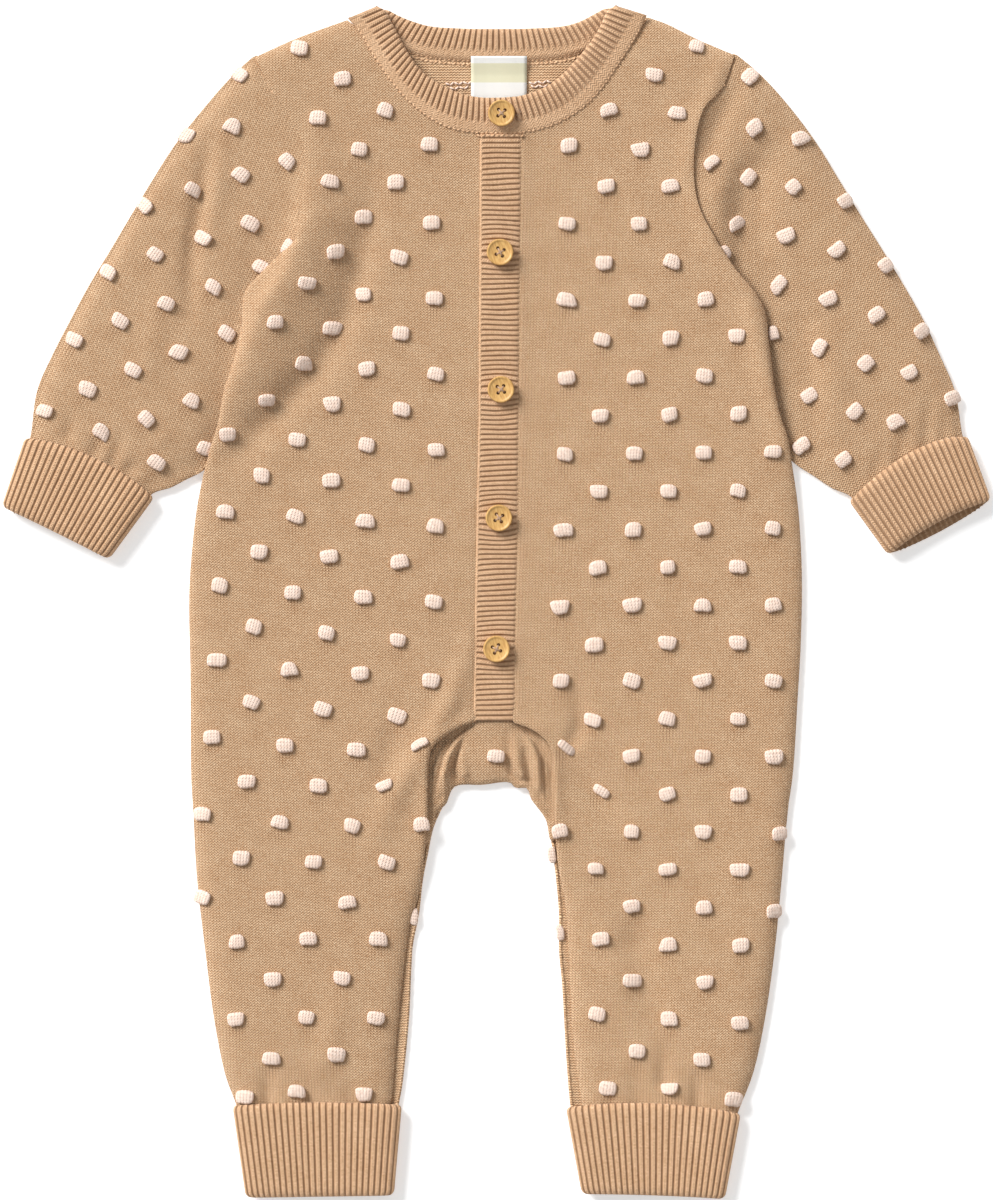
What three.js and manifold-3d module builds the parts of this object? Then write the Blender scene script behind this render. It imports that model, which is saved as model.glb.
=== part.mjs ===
// Baby romper in knitted cotton, laid flat: front halves, back, sleeves, ribbed bands and cuffs, buttons, label.
// Sizes are in millimetres. Seen from above, +X is right, +Y runs to the neck and +Z points to the viewer.
import * as THREE from 'three';
import { mergeVertices } from 'three/addons/utils/BufferGeometryUtils.js';
import Module from 'manifold-3d';

// Driving dimensions
const CLOTH = 1.7; // thickness of one knitted layer
const SEAM_GAP = 0.35; // air left between two pieces that are sewn together
const SIDE_STEP = 11; // spacing of points along a panel's edge
const ARMHOLE_STEP = 8;
const ARMHOLE_GAP = 0.6; // slanting seam, so the gap is given across the garment
const FOLD_INSET = 1.2; // how far a tube's underside stops short of its folded edge
const CAVITY_INSET = 2.3; // how far the hollow of a tube stops short of its folded edge
const FRONT_UNDERSIDE = 4.4; // underside of the front panels above the table
const SLEEVE_TOP = 6.4; // top of a sleeve above the table
const BOBBLE = { width: 8, length: 6.5, height: 2.6, corner: 0.56, top: 0.6 };
const RIB = { height: 0.7 }; // ribs of the cuffs
const PLACKET = { underside: 4.75, thickness: 2, ribs: 112 };
const CUFF = { height: 8.2, cavityLow: 3.7, cavityHigh: 4.5, cavityInset: 2.6 };
const BAND = { underside: 4.1, thickness: 3, rib: 0.5, ribs: 60 };
const BACK_BAND = { thickness: 2.7, rib: 0.5, ribs: 43 };
const BUTTON = { radius: 6, thickness: 2.7, dish: 0.7, hole: 0.75, holeReach: 1.75, sides: 16 };
const LABEL = { thickness: 0.6, left: -11.5, right: 13.7 };

// Turns rows of numbers into objects with the named columns.
const rows = (names, data) => data.map((row) => Object.fromEntries(names.split(' ').map((name, k) => [name, row[k]])));

// Edges of the panels. z is the height of the panel's underside there; fall is how soon the panel lifts off it.
const NECK_LEFT = rows('x y z', [
  [-9.9, 210.2, 4.5], [-22.9, 212.6, 4.5], [-34.9, 219.7, 4.5], [-45.1, 229.7, 4.4], [-55.2, 243.8, 4.2],
  [-62.2, 255.8, 3.4], [-67.2, 261.3, 2.4]]);
const NECK_RIGHT = rows('x y z', [
  [11.5, 210.2, 4.5], [23.7, 212.6, 4.5], [35.9, 218.7, 4.5], [45.9, 227.7, 4.4], [56, 241.8, 4.2],
  [64, 254.9, 3.4], [68, 262.6, 2.4]]);
const SHOULDER_LEFT = rows('x y z', [[-67.2, 261.3, 2.4], [-79, 257.2, 2.2], [-91.6, 252.4, 2.2], [-108.7, 244.6, 2.4]]);
const SHOULDER_RIGHT = rows('x y z', [[68, 262.6, 2.4], [77, 259.4, 2.2], [90, 252.9, 2.2], [107.3, 245.5, 2.4]]);
const ARMHOLE_LEFT = rows('x y z', [
  [-108.7, 244.6, 2.4], [-101.9, 230.2, 4.1], [-92.9, 216.7, 4.6], [-88, 206.8, 4.7], [-86.2, 196.9, 4.7],
  [-86.6, 189.7, 4.7], [-88.4, 178.9, 4.9], [-89.8, 168.1, 5], [-90.4, 162.2, 5.1]]);
const ARMHOLE_RIGHT = rows('x y z', [
  [107.3, 245.5, 2.4], [101.9, 231.1, 4], [93.4, 221.2, 4.6], [90.2, 210.8, 4.7], [88.9, 200.5, 4.7],
  [88.9, 189.7, 4.7], [90.2, 180.2, 4.9], [93.4, 171.7, 5], [99.7, 160.9, 5.1]]);
const SIDE_LEFT = rows('x y z', [
  [-90.4, 162.2, 5.1], [-105.5, 147.8, 5.1], [-113.2, 138.4, 5.1], [-114.8, 122.2, 5], [-118.1, 108.2, 5],
  [-122.6, 94.3, 5], [-125.3, 79.9, 4.9], [-128.5, 69.5, 4.6], [-131.2, 59.5, 3.7], [-133.4, 49.7, 2.6],
  [-135.2, 39.8, 2.1], [-137.5, 18.2, 2.1], [-138.4, 0.2, 2.1], [-137.8, -31.7, 2.1], [-137.5, -78.5, 2.1],
  [-136.6, -94.3, 2.1], [-134.8, -125.8, 2.1], [-131.2, -157.3, 2.1], [-127.1, -188.8, 2.1], [-122, -214, 2.1],
  [-117.5, -226.2, 2.4]]);
const SIDE_RIGHT = rows('x y z', [
  [99.7, 160.9, 5.1], [107.8, 148.7, 5.1], [115, 140.2, 5.1], [120.4, 131.2, 5], [122.6, 115.4, 5],
  [125.3, 94.3, 5], [127.6, 83.5, 4.9], [131.2, 72.7, 4.6], [132.7, 63.2, 3.7], [134.8, 49.7, 2.6],
  [136.1, 38.9, 2.1], [137.5, 11.5, 2.1], [137, -19.6, 2.1], [135.7, -42.5, 2.1], [133.4, -78.5, 2.1],
  [131.2, -94.3, 2.1], [128.4, -125.8, 2.1], [125.3, -157.3, 2.1], [120.8, -188.8, 2.1], [115.5, -213, 2.1],
  [109, -229.8, 2.4]]);
const HEM_LEFT = rows('x y z', [[-117.5, -226.2, 2.4], [-100, -225, 3.6], [-82, -224.8, 3.8], [-47.5, -225.9, 2.4]]);
const HEM_RIGHT = rows('x y z', [[109, -229.8, 2.4], [90, -226.6, 3.6], [70, -224.8, 3.8], [38.5, -226.6, 2.4]]);
const INSEAM_LEFT = rows('x y z', [
  [-47.5, -225.9, 2.4], [-45, -197.8, 2.1], [-41.2, -161.8, 2.1], [-39.2, -147, 2.1], [-34.9, -132.1, 2.4],
  [-32.4, -115, 4.4], [-31, -97, 4.8]]);
const INSEAM_RIGHT = rows('x y z', [
  [38.5, -226.6, 2.4], [34.4, -197.8, 2.1], [32.6, -161.8, 2.1], [30.8, -136.1, 2.3], [27.6, -118, 4.2],
  [26, -97, 4.8]]);
const ARCH_LEFT = rows('x y z', [[-31, -97, 4.8], [-30.6, -76, 4.9], [-28.6, -66, 4.9], [-23.2, -61.2, 4.9],
  [-16.4, -57, 4.8], [-10.6, -54.6, 4.6]]);
const ARCH_RIGHT = rows('x y z', [[26, -97, 4.8], [25.6, -76, 4.9], [23.6, -65, 4.9], [17.5, -59, 4.9],
  [9, -54.8, 4.6]]);
// Edges of the upper button band; gap is the slit beside its free left edge.
const PLACKET_EDGE = rows('y left right gap', [
  [-53.6, -10.2, 8.2, 0.35], [-22.3, -9.8, 8.4, 0.35], [30, -8.9, 9.6, 0.35], [81.2, -7.9, 9.9, 0.35],
  [135.2, -7.6, 10.3, 0.5], [172, -7.4, 10.8, 1.8], [207.6, -7.3, 11.1, 2.3]]);
const NECK_INNER = rows('x y', [
  [-50.6, 269.2], [-45.8, 257.2], [-34.7, 239.2], [-22.7, 230.6], [-10.6, 226.6], [1.4, 226.1], [13.5, 227.5],
  [25.5, 233], [37.6, 245.1], [45.6, 256.1], [50.6, 269.2]]);
const NECK_OUTER = rows('x y', [
  [-66.4, 261.9], [-61.6, 256.3], [-54.6, 244.3], [-44.5, 230.2], [-34.5, 220.4], [-22.6, 213.3], [-9.9, 210.6],
  [0.5, 210.2], [11.5, 210.6], [23.5, 213.3], [35.5, 219.4], [45.4, 228.3], [55.3, 242.3], [63.4, 255.4],
  [67.2, 263.2]]);
const BACK_NECK_UPPER = rows('x y', [
  [-51.6, 267.6], [-44, 263.3], [-36, 260.2], [-29.7, 258.6], [-15, 257.6], [0, 257.4], [15, 257.6],
  [29.7, 258.6], [37, 260.5], [44, 264], [51.4, 268.2]]);
const BACK_NECK_LOWER = rows('x y', [
  [-61, 259.4], [-53, 252.6], [-44, 248.8], [-36.8, 246.9], [-29.7, 245.2], [-15, 243.9], [0, 243.4],
  [15, 243.9], [29.7, 245.2], [37, 247], [44, 249.2], [53, 253.2], [61, 260]]);
// Hidden and outer edges of the sleeves, from the cuff to the armhole.
const SLEEVE_LEFT_OUTER = rows('x y', [
  [-209.6, 75.4], [-206.8, 94.7], [-200, 110.5], [-191.9, 126.2], [-183.4, 142], [-173.9, 157.7], [-164.5, 173.5],
  [-155, 189.2], [-144.9, 205], [-132.6, 220.7], [-119.7, 235.4], [-109.2, 245]]);
const SLEEVE_LEFT_INNER = rows('x y', [
  [-154.4, 48.4], [-147, 50.7], [-140.2, 54.2], [-131, 59.4], [-123, 72], [-116.5, 90], [-110.5, 108], [-105, 122],
  [-100, 136], [-95, 150], [-90.9, 161.6]]);
const SLEEVE_RIGHT_OUTER = rows('x y', [
  [209.6, 75.6], [206.3, 94.7], [199.6, 110.5], [192.3, 126.2], [183.4, 142], [173.9, 157.7], [164, 173.5],
  [154.4, 189.2], [144.7, 205], [133.2, 220.7], [119.6, 236], [107.9, 245.8]]);
const SLEEVE_RIGHT_INNER = rows('x y', [
  [158.9, 47.2], [151.4, 50.4], [143.5, 55.6], [132.4, 63.4], [124, 76], [118.4, 92], [113.5, 110], [109.5, 126],
  [106.5, 138], [103.5, 148], [100.3, 160.6]]);
const BACK_INSEAM_LEFT = rows('x y', [
  [-43.8, -226], [-42.5, -219], [-39.4, -188.8], [-38.3, -165], [-37.6, -155], [-34.9, -141.5], [-33.1, -125.8],
  [-31, -115], [-28.2, -102], [-23, -90.5], [-19.5, -82.6]]);
const BACK_INSEAM_RIGHT = rows('x y', [
  [33.1, -226.6], [31.3, -204.5], [29.5, -173], [28.1, -157.3], [28.1, -141.5], [26.8, -125.8], [24.9, -110.5],
  [22.5, -99.5], [16.5, -90], [13.5, -83]]);
const BACK_SIDE_LEFT = rows('x y', [
  [-89.6, 162], [-93.5, 149], [-98.5, 135], [-103.5, 121], [-109, 107], [-115, 89], [-121.4, 71], [-129, 57.5],
  [-133.2, 46], [-135.4, 30], [-137.6, 0], [-137, -78], [-134.2, -126], [-126.5, -189], [-117.5, -226]]);
const BACK_SIDE_RIGHT = rows('x y', [
  [99, 160.6], [102, 147], [105, 137], [108, 125], [112, 109], [117, 91], [122.6, 75], [131, 61.4],
  [134, 48], [136, 30], [136.8, 0], [132.8, -78], [127.8, -126], [120, -189], [109, -229.6]]);
const GUSSET_HIDDEN = rows('x y z', [
  [-33, -113.5, 2.1], [-34, -92, 2.1], [-32.5, -68, 2.1], [-25, -58, 2.1], [-12, -51, 2.1], [0, -50, 2.1],
  [11, -51.5, 2.1], [20, -57, 2.1], [26.5, -65, 2.1], [28.8, -92, 2.1], [27, -108, 2.1]]);
const GUSSET_LOWER = rows('x y z', [
  [27, -108, 2.1], [24.6, -108.5, 2.1], [22.1, -98.5, 2.1], [15.7, -89.6, 2.1], [13.7, -84.6, 2.1],
  [8.5, -84.4, 2.1], [6.1, -82, 2.1], [-6.5, -83, 2.1], [-18.9, -83.9, 2.1], [-22.9, -92, 2.1],
  [-26.5, -94.8, 2.1], [-28.9, -104, 2.1], [-33, -113.5, 2.1]]);

// Creases pressed into the cloth: from (x1, y1) to (x2, y2); depth below zero is a ridge.
const CREASES = rows('x1 y1 x2 y2 width depth', [
  [-68, 169, -80, 122, 9, 1], [-80, 122, -101, 100, 9, 1.1], [-101, 100, -118, 66, 8, 0.9],
  [-96, 124, -110, 92, 6, -0.6], [-12, -58, -34, -76, 7, -0.5], [-44, -52, -50, -86, 6, 0.6],
  [28, -64, 35, -76, 6, 0.9], [35, -76, 51, -88, 7, 0.7], [64, -148, 61, -163, 8, 0.6],
  [64, -189, 72, -198, 7, 0.7], [75, -204, 75, -216, 4, 0.8], [90, -217, 90, -226, 4, 0.8],
  [-103, -215, -103, -226, 4, 0.9], [-129, 201, -127, 171, 7, 0.7], [-136, 151, -140, 122, 7, 0.6],
  [-166, 58, -154, 67, 4, 0.9], [-173, 61, -169, 70, 4, 0.8], [107, 240, 92, 212, 7, 0.9],
  [118, 203, 98, 182, 7, 1.1], [136, 116, 126, 92, 7, 0.7], [193, 70, 194, 88, 4, 0.9], [201, 74, 202, 82, 4, 0.7]]);

// Bobbles stand on a slanting lattice; the columns are the factors of 1, i, j, i*j, j*j and j*j*j.
const LATTICES = {
  front_left: rows('one i j ij jj jjj', [
    [-27.94, 15.4, 0.484, 0.0563, -0.0736, 0.0011], [135.93, -1.226, -17.03, 0.023, -0.0045, 0.0001]]),
  front_right: rows('one i j ij jj jjj', [
    [32.47, 15.38, -0.4955, 0.0536, 0.0148, 0], [134.13, 0.361, -17.15, -0.0378, 0.0131, 0]]),
  sleeve_left: rows('one i j ij jj jjj', [
    [-148.33, 13.12, -7.84, 0.0516, 0.1391, 0], [133.55, -7.12, -14.82, 0.1535, -0.0819, 0]]),
  sleeve_right: rows('one i j ij jj jjj', [
    [149.21, 12.93, 8.92, -0.177, -0.273, 0], [135.58, 7.54, -14.31, -0.148, -0.07, 0]]),
};
const LATTICE_ROWS = { first: -7, last: 21 };
// First and last column of each lattice.
const LATTICE_COLUMNS = { front_left: [-6, 0], front_right: [0, 6], sleeve_left: [-3, 3], sleeve_right: [-3, 3] };
// Bobbles that pulled cloth has moved off the lattice.
const PULLED = {
  front_left: rows('i j dx dy', [
    [-4, 0, 4.5, 1.4], [-5, 1, 5.6, 0], [-2, -4, -0.2, -3.7], [-3, -5, -2.6, -7.9], [-2, -6, -5.5, -6],
    [-3, -7, -8.3, -10.7], [0, 12, -3.8, 4.6], [-1, 13, -2.6, 1.9], [-3, -3, 1.1, -2.5], [-5, 17, 0.7, -2.9],
    [-4, 20, 3.9, -3.1], [-5, 21, 10, -4], [-1, 21, -2.8, 0.1], [-5, 19, 3, -3.6]]),
  front_right: rows('i j dx dy', [
    [2, -6, 4.8, -2.4], [3, -5, 0.6, -2.7], [0, -4, -2.1, 1.8], [0, 12, 2.8, 3.6], [1, 13, 2.6, 1],
    [5, 21, -4.5, -1.9], [1, 21, 4.9, 1.3], [1, 17, 2.2, 1.8], [2, 20, 1.8, 2]]),
  sleeve_left: rows('i j dx dy', [[0, 4, -0.1, 3.1], [2, 4, -2, 2.2], [-2, -6, 6.2, 1.1]]),
  sleeve_right: rows('i j dx dy', [[1, 3, -0.3, 3.3], [0, 4, -1.4, 3.3], [1, -5, 4.3, -1]]),
};

// Plane geometry
const mix = (a, b, t) => a + (b - a) * t;
const distance = (a, b) => Math.hypot(a.x - b.x, a.y - b.y);
const clamp = (v, low, high) => Math.min(high, Math.max(low, v));

// Samples a smooth curve through the rows of a table at an even spacing.
function smoothEdge(table, step, fall = 4) {
  const curve = new THREE.CatmullRomCurve3(table.map((p) => new THREE.Vector3(p.x, p.y, p.z ?? 0)), false, 'centripetal');
  const count = Math.max(1, Math.round(curve.getLength() / step));
  return curve.getSpacedPoints(count).map((p) => ({ x: p.x, y: p.y, z: p.z, fall }));
}

const reversed = (list) => [...list].reverse();
// Joins edges head to tail into one loop, without doubling the shared corners.
const joinEdges = (...edges) => edges.flatMap((edge) => edge.slice(0, -1));

function lookUp(table, y, column) {
  const k = clamp(table.findIndex((row) => row.y >= y), 1, table.length - 1);
  const t = clamp((y - table[k - 1].y) / (table[k].y - table[k - 1].y), 0, 1);
  return mix(table[k - 1][column], table[k][column], t);
}

function signedArea(loop) {
  return loop.reduce((sum, p, k) => {
    const q = loop[(k + 1) % loop.length];
    return sum + (p.x * q.y - q.x * p.y) / 2;
  }, 0);
}

const counterclockwise = (loop) => (signedArea(loop) > 0 ? loop : reversed(loop));

function inside(loop, p) {
  let odd = false;
  loop.forEach((a, k) => {
    const b = loop[(k + 1) % loop.length];
    if ((a.y > p.y) !== (b.y > p.y) && p.x < a.x + ((p.y - a.y) * (b.x - a.x)) / (b.y - a.y)) odd = !odd;
  });
  return odd;
}

function segmentDistance(p, a, b) {
  const dx = b.x - a.x;
  const dy = b.y - a.y;
  const t = clamp(((p.x - a.x) * dx + (p.y - a.y) * dy) / (dx * dx + dy * dy || 1), 0, 1);
  return Math.hypot(p.x - a.x - t * dx, p.y - a.y - t * dy);
}

const edgeDistance = (loop, p) => Math.min(...loop.map((a, k) => segmentDistance(p, a, loop[(k + 1) % loop.length])));

// Moves each point of a counterclockwise loop inward by its own amount.
function insetLoop(loop, amountOf) {
  return loop.map((p, k) => {
    const before = loop[(k + loop.length - 1) % loop.length];
    const after = loop[(k + 1) % loop.length];
    const length = distance(before, after) || 1;
    const amount = amountOf(p, k);
    return { ...p, x: p.x - ((after.y - before.y) / length) * amount, y: p.y + ((after.x - before.x) / length) * amount };
  });
}

// Triangles of the Delaunay net over points, kept where their centre lies inside the loop.
function netOver(points, loop) {
  const far = 1e5;
  const site = points.map((p, k) => ({ x: p.x + 2e-4 * Math.sin(13 * k), y: p.y + 2e-4 * Math.cos(7 * k) }));
  const n = site.length;
  site.push({ x: -far, y: -far }, { x: far, y: -far }, { x: 0, y: far });
  const withCircle = (a, b, c) => {
    const [p, q, r] = [site[a], site[b], site[c]];
    const d = 2 * (p.x * (q.y - r.y) + q.x * (r.y - p.y) + r.x * (p.y - q.y));
    const [pp, qq, rr] = [p, q, r].map((s) => s.x * s.x + s.y * s.y);
    const x = (pp * (q.y - r.y) + qq * (r.y - p.y) + rr * (p.y - q.y)) / d;
    const y = (pp * (r.x - q.x) + qq * (p.x - r.x) + rr * (q.x - p.x)) / d;
    return { corners: [a, b, c], x, y, rr: (p.x - x) ** 2 + (p.y - y) ** 2 };
  };
  let net = [withCircle(n, n + 1, n + 2)];
  for (let k = 0; k < n; k += 1) {
    const hit = [];
    const kept = [];
    net.forEach((t) => ((site[k].x - t.x) ** 2 + (site[k].y - t.y) ** 2 < t.rr ? hit : kept).push(t));
    const rim = new Map();
    hit.forEach(({ corners }) => corners.forEach((a, m) => {
      const b = corners[(m + 1) % 3];
      if (!rim.delete(`${b} ${a}`)) rim.set(`${a} ${b}`, [a, b]);
    }));
    rim.forEach(([a, b]) => kept.push(withCircle(a, b, k)));
    net = kept;
  }
  return net.map((t) => t.corners).filter((c) => c.every((k) => k < n)).filter(([a, b, c]) => inside(loop, {
    x: (points[a].x + points[b].x + points[c].x) / 3,
    y: (points[a].y + points[b].y + points[c].y) / 3,
  }));
}

// Heights
function creaseAt(p) {
  return CREASES.reduce((sum, c) => {
    const d = segmentDistance(p, { x: c.x1, y: c.y1 }, { x: c.x2, y: c.y2 }) / c.width;
    return sum + c.depth * Math.exp(-d * d);
  }, 0);
}

// Height that starts from the loop's own z at its edge and settles at the given inner height.
function heightOver(loop, inner) {
  const parts = loop.map((a, k) => {
    const b = loop[(k + 1) % loop.length];
    return { x: (a.x + b.x) / 2, y: (a.y + b.y) / 2, z: (a.z + b.z) / 2, reach: distance(a, b) * a.fall * b.fall * 0.5 };
  });
  return (p) => {
    let weight = 1;
    let sum = inner(p);
    parts.forEach((part) => {
      const d = Math.max(distance(part, p), 1);
      const share = part.reach / d ** 3;
      weight += share;
      sum += share * part.z;
    });
    return sum / weight;
  };
}

// Bobbles
function latticePoint(name, i, j) {
  const terms = [1, i, j, i * j, j * j, j ** 3];
  const [x, y] = LATTICES[name].map((f) => [f.one, f.i, f.j, f.ij, f.jj, f.jjj].reduce((s, v, k) => s + v * terms[k], 0));
  const moved = PULLED[name].find((b) => b.i === i && b.j === j) ?? { dx: 0, dy: 0 };
  return { x: x + moved.dx, y: y + moved.dy };
}

function latticeOf(name, parity) {
  const found = [];
  for (let j = LATTICE_ROWS.first; j <= LATTICE_ROWS.last; j += 1) {
    for (let i = LATTICE_COLUMNS[name][0]; i <= LATTICE_COLUMNS[name][1]; i += 1) {
      if (Math.abs(i + j) % 2 === parity) found.push({ ...latticePoint(name, i, j), i, j, angle: 0 });
    }
  }
  const { i, ij } = LATTICES[name][0];
  const dy = LATTICES[name][1];
  return found.map((b) => ({ ...b, angle: Math.atan2(dy.i + dy.ij * b.j, i + ij * b.j) }));
}

// Eight corners of a bobble's foot, then the four of its top.
function bobbleRing(b) {
  const corners = [[1, -BOBBLE.corner], [1, BOBBLE.corner], [BOBBLE.corner, 1], [-BOBBLE.corner, 1],
    [-1, BOBBLE.corner], [-1, -BOBBLE.corner], [-BOBBLE.corner, -1], [BOBBLE.corner, -1]];
  const tops = [[1, 1], [-1, 1], [-1, -1], [1, -1]].map((c) => c.map((v) => v * BOBBLE.top));
  const place = ([u, v]) => {
    const [x, y] = [(u * BOBBLE.width) / 2, (v * BOBBLE.length) / 2];
    return { x: b.x + x * Math.cos(b.angle) - y * Math.sin(b.angle), y: b.y + x * Math.sin(b.angle) + y * Math.cos(b.angle) };
  };
  return { foot: corners.map(place), top: tops.map((c) => ({ ...place(c), lift: BOBBLE.height })) };
}

function bobblesIn(name, loop, keepOut) {
  return latticeOf(name, 0).map((b) => ({ ...b, ring: bobbleRing(b) })).filter(({ ring }) => ring.foot.every(
    (p) => inside(loop, p) && edgeDistance(loop, p) > 0.7 && !keepOut.some((other) => inside(other, p)),
  ));
}

// Solids
class Wall {
  constructor() {
    this.points = [];
    this.triangles = [];
  }

  add(list) {
    const first = this.points.length / 3;
    list.forEach((p) => this.points.push(p.x, p.y, p.z));
    return list.map((_, k) => first + k);
  }

  face(a, b, c) {
    if (a !== b && b !== c && a !== c) this.triangles.push(a, b, c);
  }

  quad(a, b, c, d) {
    this.face(a, b, c);
    this.face(a, c, d);
  }

  // Bridges two rows of the same count, seen with the first row below and running to the right.
  bridge(low, high, closed = false) {
    for (let k = 0; k < low.length - (closed ? 0 : 1); k += 1) {
      const m = (k + 1) % low.length;
      this.quad(low[k], low[m], high[m], high[k]);
    }
  }

  // Bridges two rows of different counts by their share of the length.
  zip(low, high) {
    let a = 0;
    let b = 0;
    while (a < low.length - 1 || b < high.length - 1) {
      const nextLow = (a + 1) / (low.length - 1);
      const nextHigh = (b + 1) / (high.length - 1);
      if (b === high.length - 1 || (a < low.length - 1 && nextLow <= nextHigh)) {
        this.face(low[a], low[a + 1], high[b]);
        a += 1;
      } else {
        this.face(low[a], high[b + 1], high[b]);
        b += 1;
      }
    }
  }

  geometry() {
    const g = new THREE.BufferGeometry();
    g.setAttribute('position', new THREE.Float32BufferAttribute(this.points, 3));
    g.setIndex(this.triangles);
    return g;
  }
}

const fromMesh = (mesh) => {
  const g = new THREE.BufferGeometry();
  g.setAttribute('position', new THREE.Float32BufferAttribute(mesh.vertProperties, 3));
  g.setIndex(new THREE.Uint32BufferAttribute(mesh.triVerts, 1));
  return g;
};

// Points of a panel's upper side: its edge, a row just inside it, bobbles, and the lattice's empty places.
function upperPoints(loop, height, bobbles, fill, edgeRow) {
  const free = (p, clear) => bobbles.every((b) => distance(b, p) > clear);
  const row = edgeRow ? insetLoop(loop, () => edgeRow) : [];
  const inner = [];
  const addFree = (p, clear) => {
    const apart = inner.every((q) => distance(p, q) > 5);
    if (inside(loop, p) && edgeDistance(loop, p) > 2.4 && free(p, clear) && apart) inner.push(p);
  };
  row.forEach((p) => addFree(p, 6.4));
  fill.forEach((p) => addFree(p, 7.5));
  const bumps = bobbles.flatMap((b) => [...b.ring.foot, ...b.ring.top]);
  return [...loop, ...[...inner, ...bumps].map((p) => ({ ...p, z: height(p) + (p.lift ?? 0) }))];
}

// A panel of one layer: bobbled upper side over a plain lower side.
function panel(loop, inner, bobbles, fill) {
  const wall = new Wall();
  const low = heightOver(loop, inner);
  const upperLoop = loop.map((p) => ({ ...p, z: p.z + CLOTH }));
  const upper = upperPoints(upperLoop, (p) => low(p) + CLOTH, bobbles, fill, 4);
  const places = [...bobbles, ...fill].filter((p) => inside(loop, p) && edgeDistance(loop, p) > 5);
  const lower = [...loop, ...places.map((p) => ({ x: p.x, y: p.y, z: low(p) }))];
  const top = wall.add(upper);
  const bottom = wall.add(lower);
  netOver(upper, loop).forEach(([a, b, c]) => wall.face(top[a], top[b], top[c]));
  netOver(lower, loop).forEach(([a, b, c]) => wall.face(bottom[a], bottom[c], bottom[b]));
  wall.bridge(bottom.slice(0, loop.length), top.slice(0, loop.length), true);
  return wall.geometry();
}

// A flattened tube, open at two ends. The loop's z is the height of its upper side; its folds are the two long edges.
function sleeve({ outer, armhole, hidden, mouth }, inner, bobbles, fill) {
  const wall = new Wall();
  const tag = (edge, fold) => edge.map((p, k) => ({ ...p, fold: fold || k === 0 || k === edge.length - 1 }));
  const parts = [tag(outer, true), tag(armhole, false), tag(hidden, true), tag(mouth, false)];
  const loop = counterclockwise(joinEdges(...parts));
  const n = loop.length;
  const height = heightOver(loop, inner);
  const foldNormal = (p, k, amount) => {
    const before = loop[(k + n - 1) % n];
    const after = loop[(k + 1) % n];
    const [a, b] = [before.fold ? before : p, after.fold ? after : p];
    const length = distance(a, b) || 1;
    return { x: p.x - ((b.y - a.y) / length) * amount, y: p.y + ((b.x - a.x) / length) * amount };
  };
  const shifted = (amount, z) => loop.map((p, k) => (p.fold ? { ...foldNormal(p, k, amount), z: z(p) } : { ...p, z: z(p) }));
  const upper = upperPoints(loop, height, bobbles, fill, 4.5);
  const floor = shifted(FOLD_INSET, () => 0);
  const floorFill = fill.filter((p) => inside(loop, p) && edgeDistance(loop, p) > 7);
  const foldHeight = 1.7;
  const hollowLow = shifted(CAVITY_INSET, (p) => (p.fold ? foldHeight : CLOTH - 0.1));
  const roof = (p) => Math.max(height(p) - CLOTH, foldHeight + 0.35);
  const hollowHigh = hollowLow.map((p, k) => (p.fold ? p : { ...p, z: Math.max(loop[k].z - CLOTH, foldHeight + 0.35) }));
  const top = wall.add(upper);
  const under = wall.add([...floor, ...floorFill.map((p) => ({ x: p.x, y: p.y, z: 0 }))]);
  const innerLow = wall.add([...hollowLow, ...floorFill.map((p) => ({ x: p.x, y: p.y, z: CLOTH - 0.1 }))]);
  const innerHigh = wall.add([...hollowHigh, ...floorFill.map((p) => ({ x: p.x, y: p.y, z: roof(p) }))]);
  loop.forEach((p, k) => {
    if (p.fold) innerHigh[k] = innerLow[k];
  });
  netOver(upper, loop).forEach(([a, b, c]) => wall.face(top[a], top[b], top[c]));
  netOver([...floor, ...floorFill], floor).forEach(([a, b, c]) => wall.face(under[a], under[c], under[b]));
  netOver([...hollowLow, ...floorFill], hollowLow).forEach(([a, b, c]) => {
    wall.face(innerLow[a], innerLow[b], innerLow[c]);
    wall.face(innerHigh[a], innerHigh[c], innerHigh[b]);
  });
  for (let k = 0; k < n; k += 1) {
    const m = (k + 1) % n;
    const open = !loop[k].fold || !loop[m].fold;
    if (open) {
      wall.quad(innerHigh[k], innerHigh[m], top[m], top[k]);
      wall.quad(under[k], under[m], innerLow[m], innerLow[k]);
      if (loop[k].fold) wall.face(under[k], innerLow[k], top[k]);
      if (loop[m].fold) wall.face(under[m], top[m], innerLow[m]);
    } else {
      wall.quad(under[k], under[m], top[m], top[k]);
    }
  }
  return wall.geometry();
}

// Rounded height across a flattened tube: 0 at the folds, 1 over the middle.
const roundness = (v, power) => (1 - Math.abs(2 * v - 1) ** power) ** (1 / 2.4);

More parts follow.
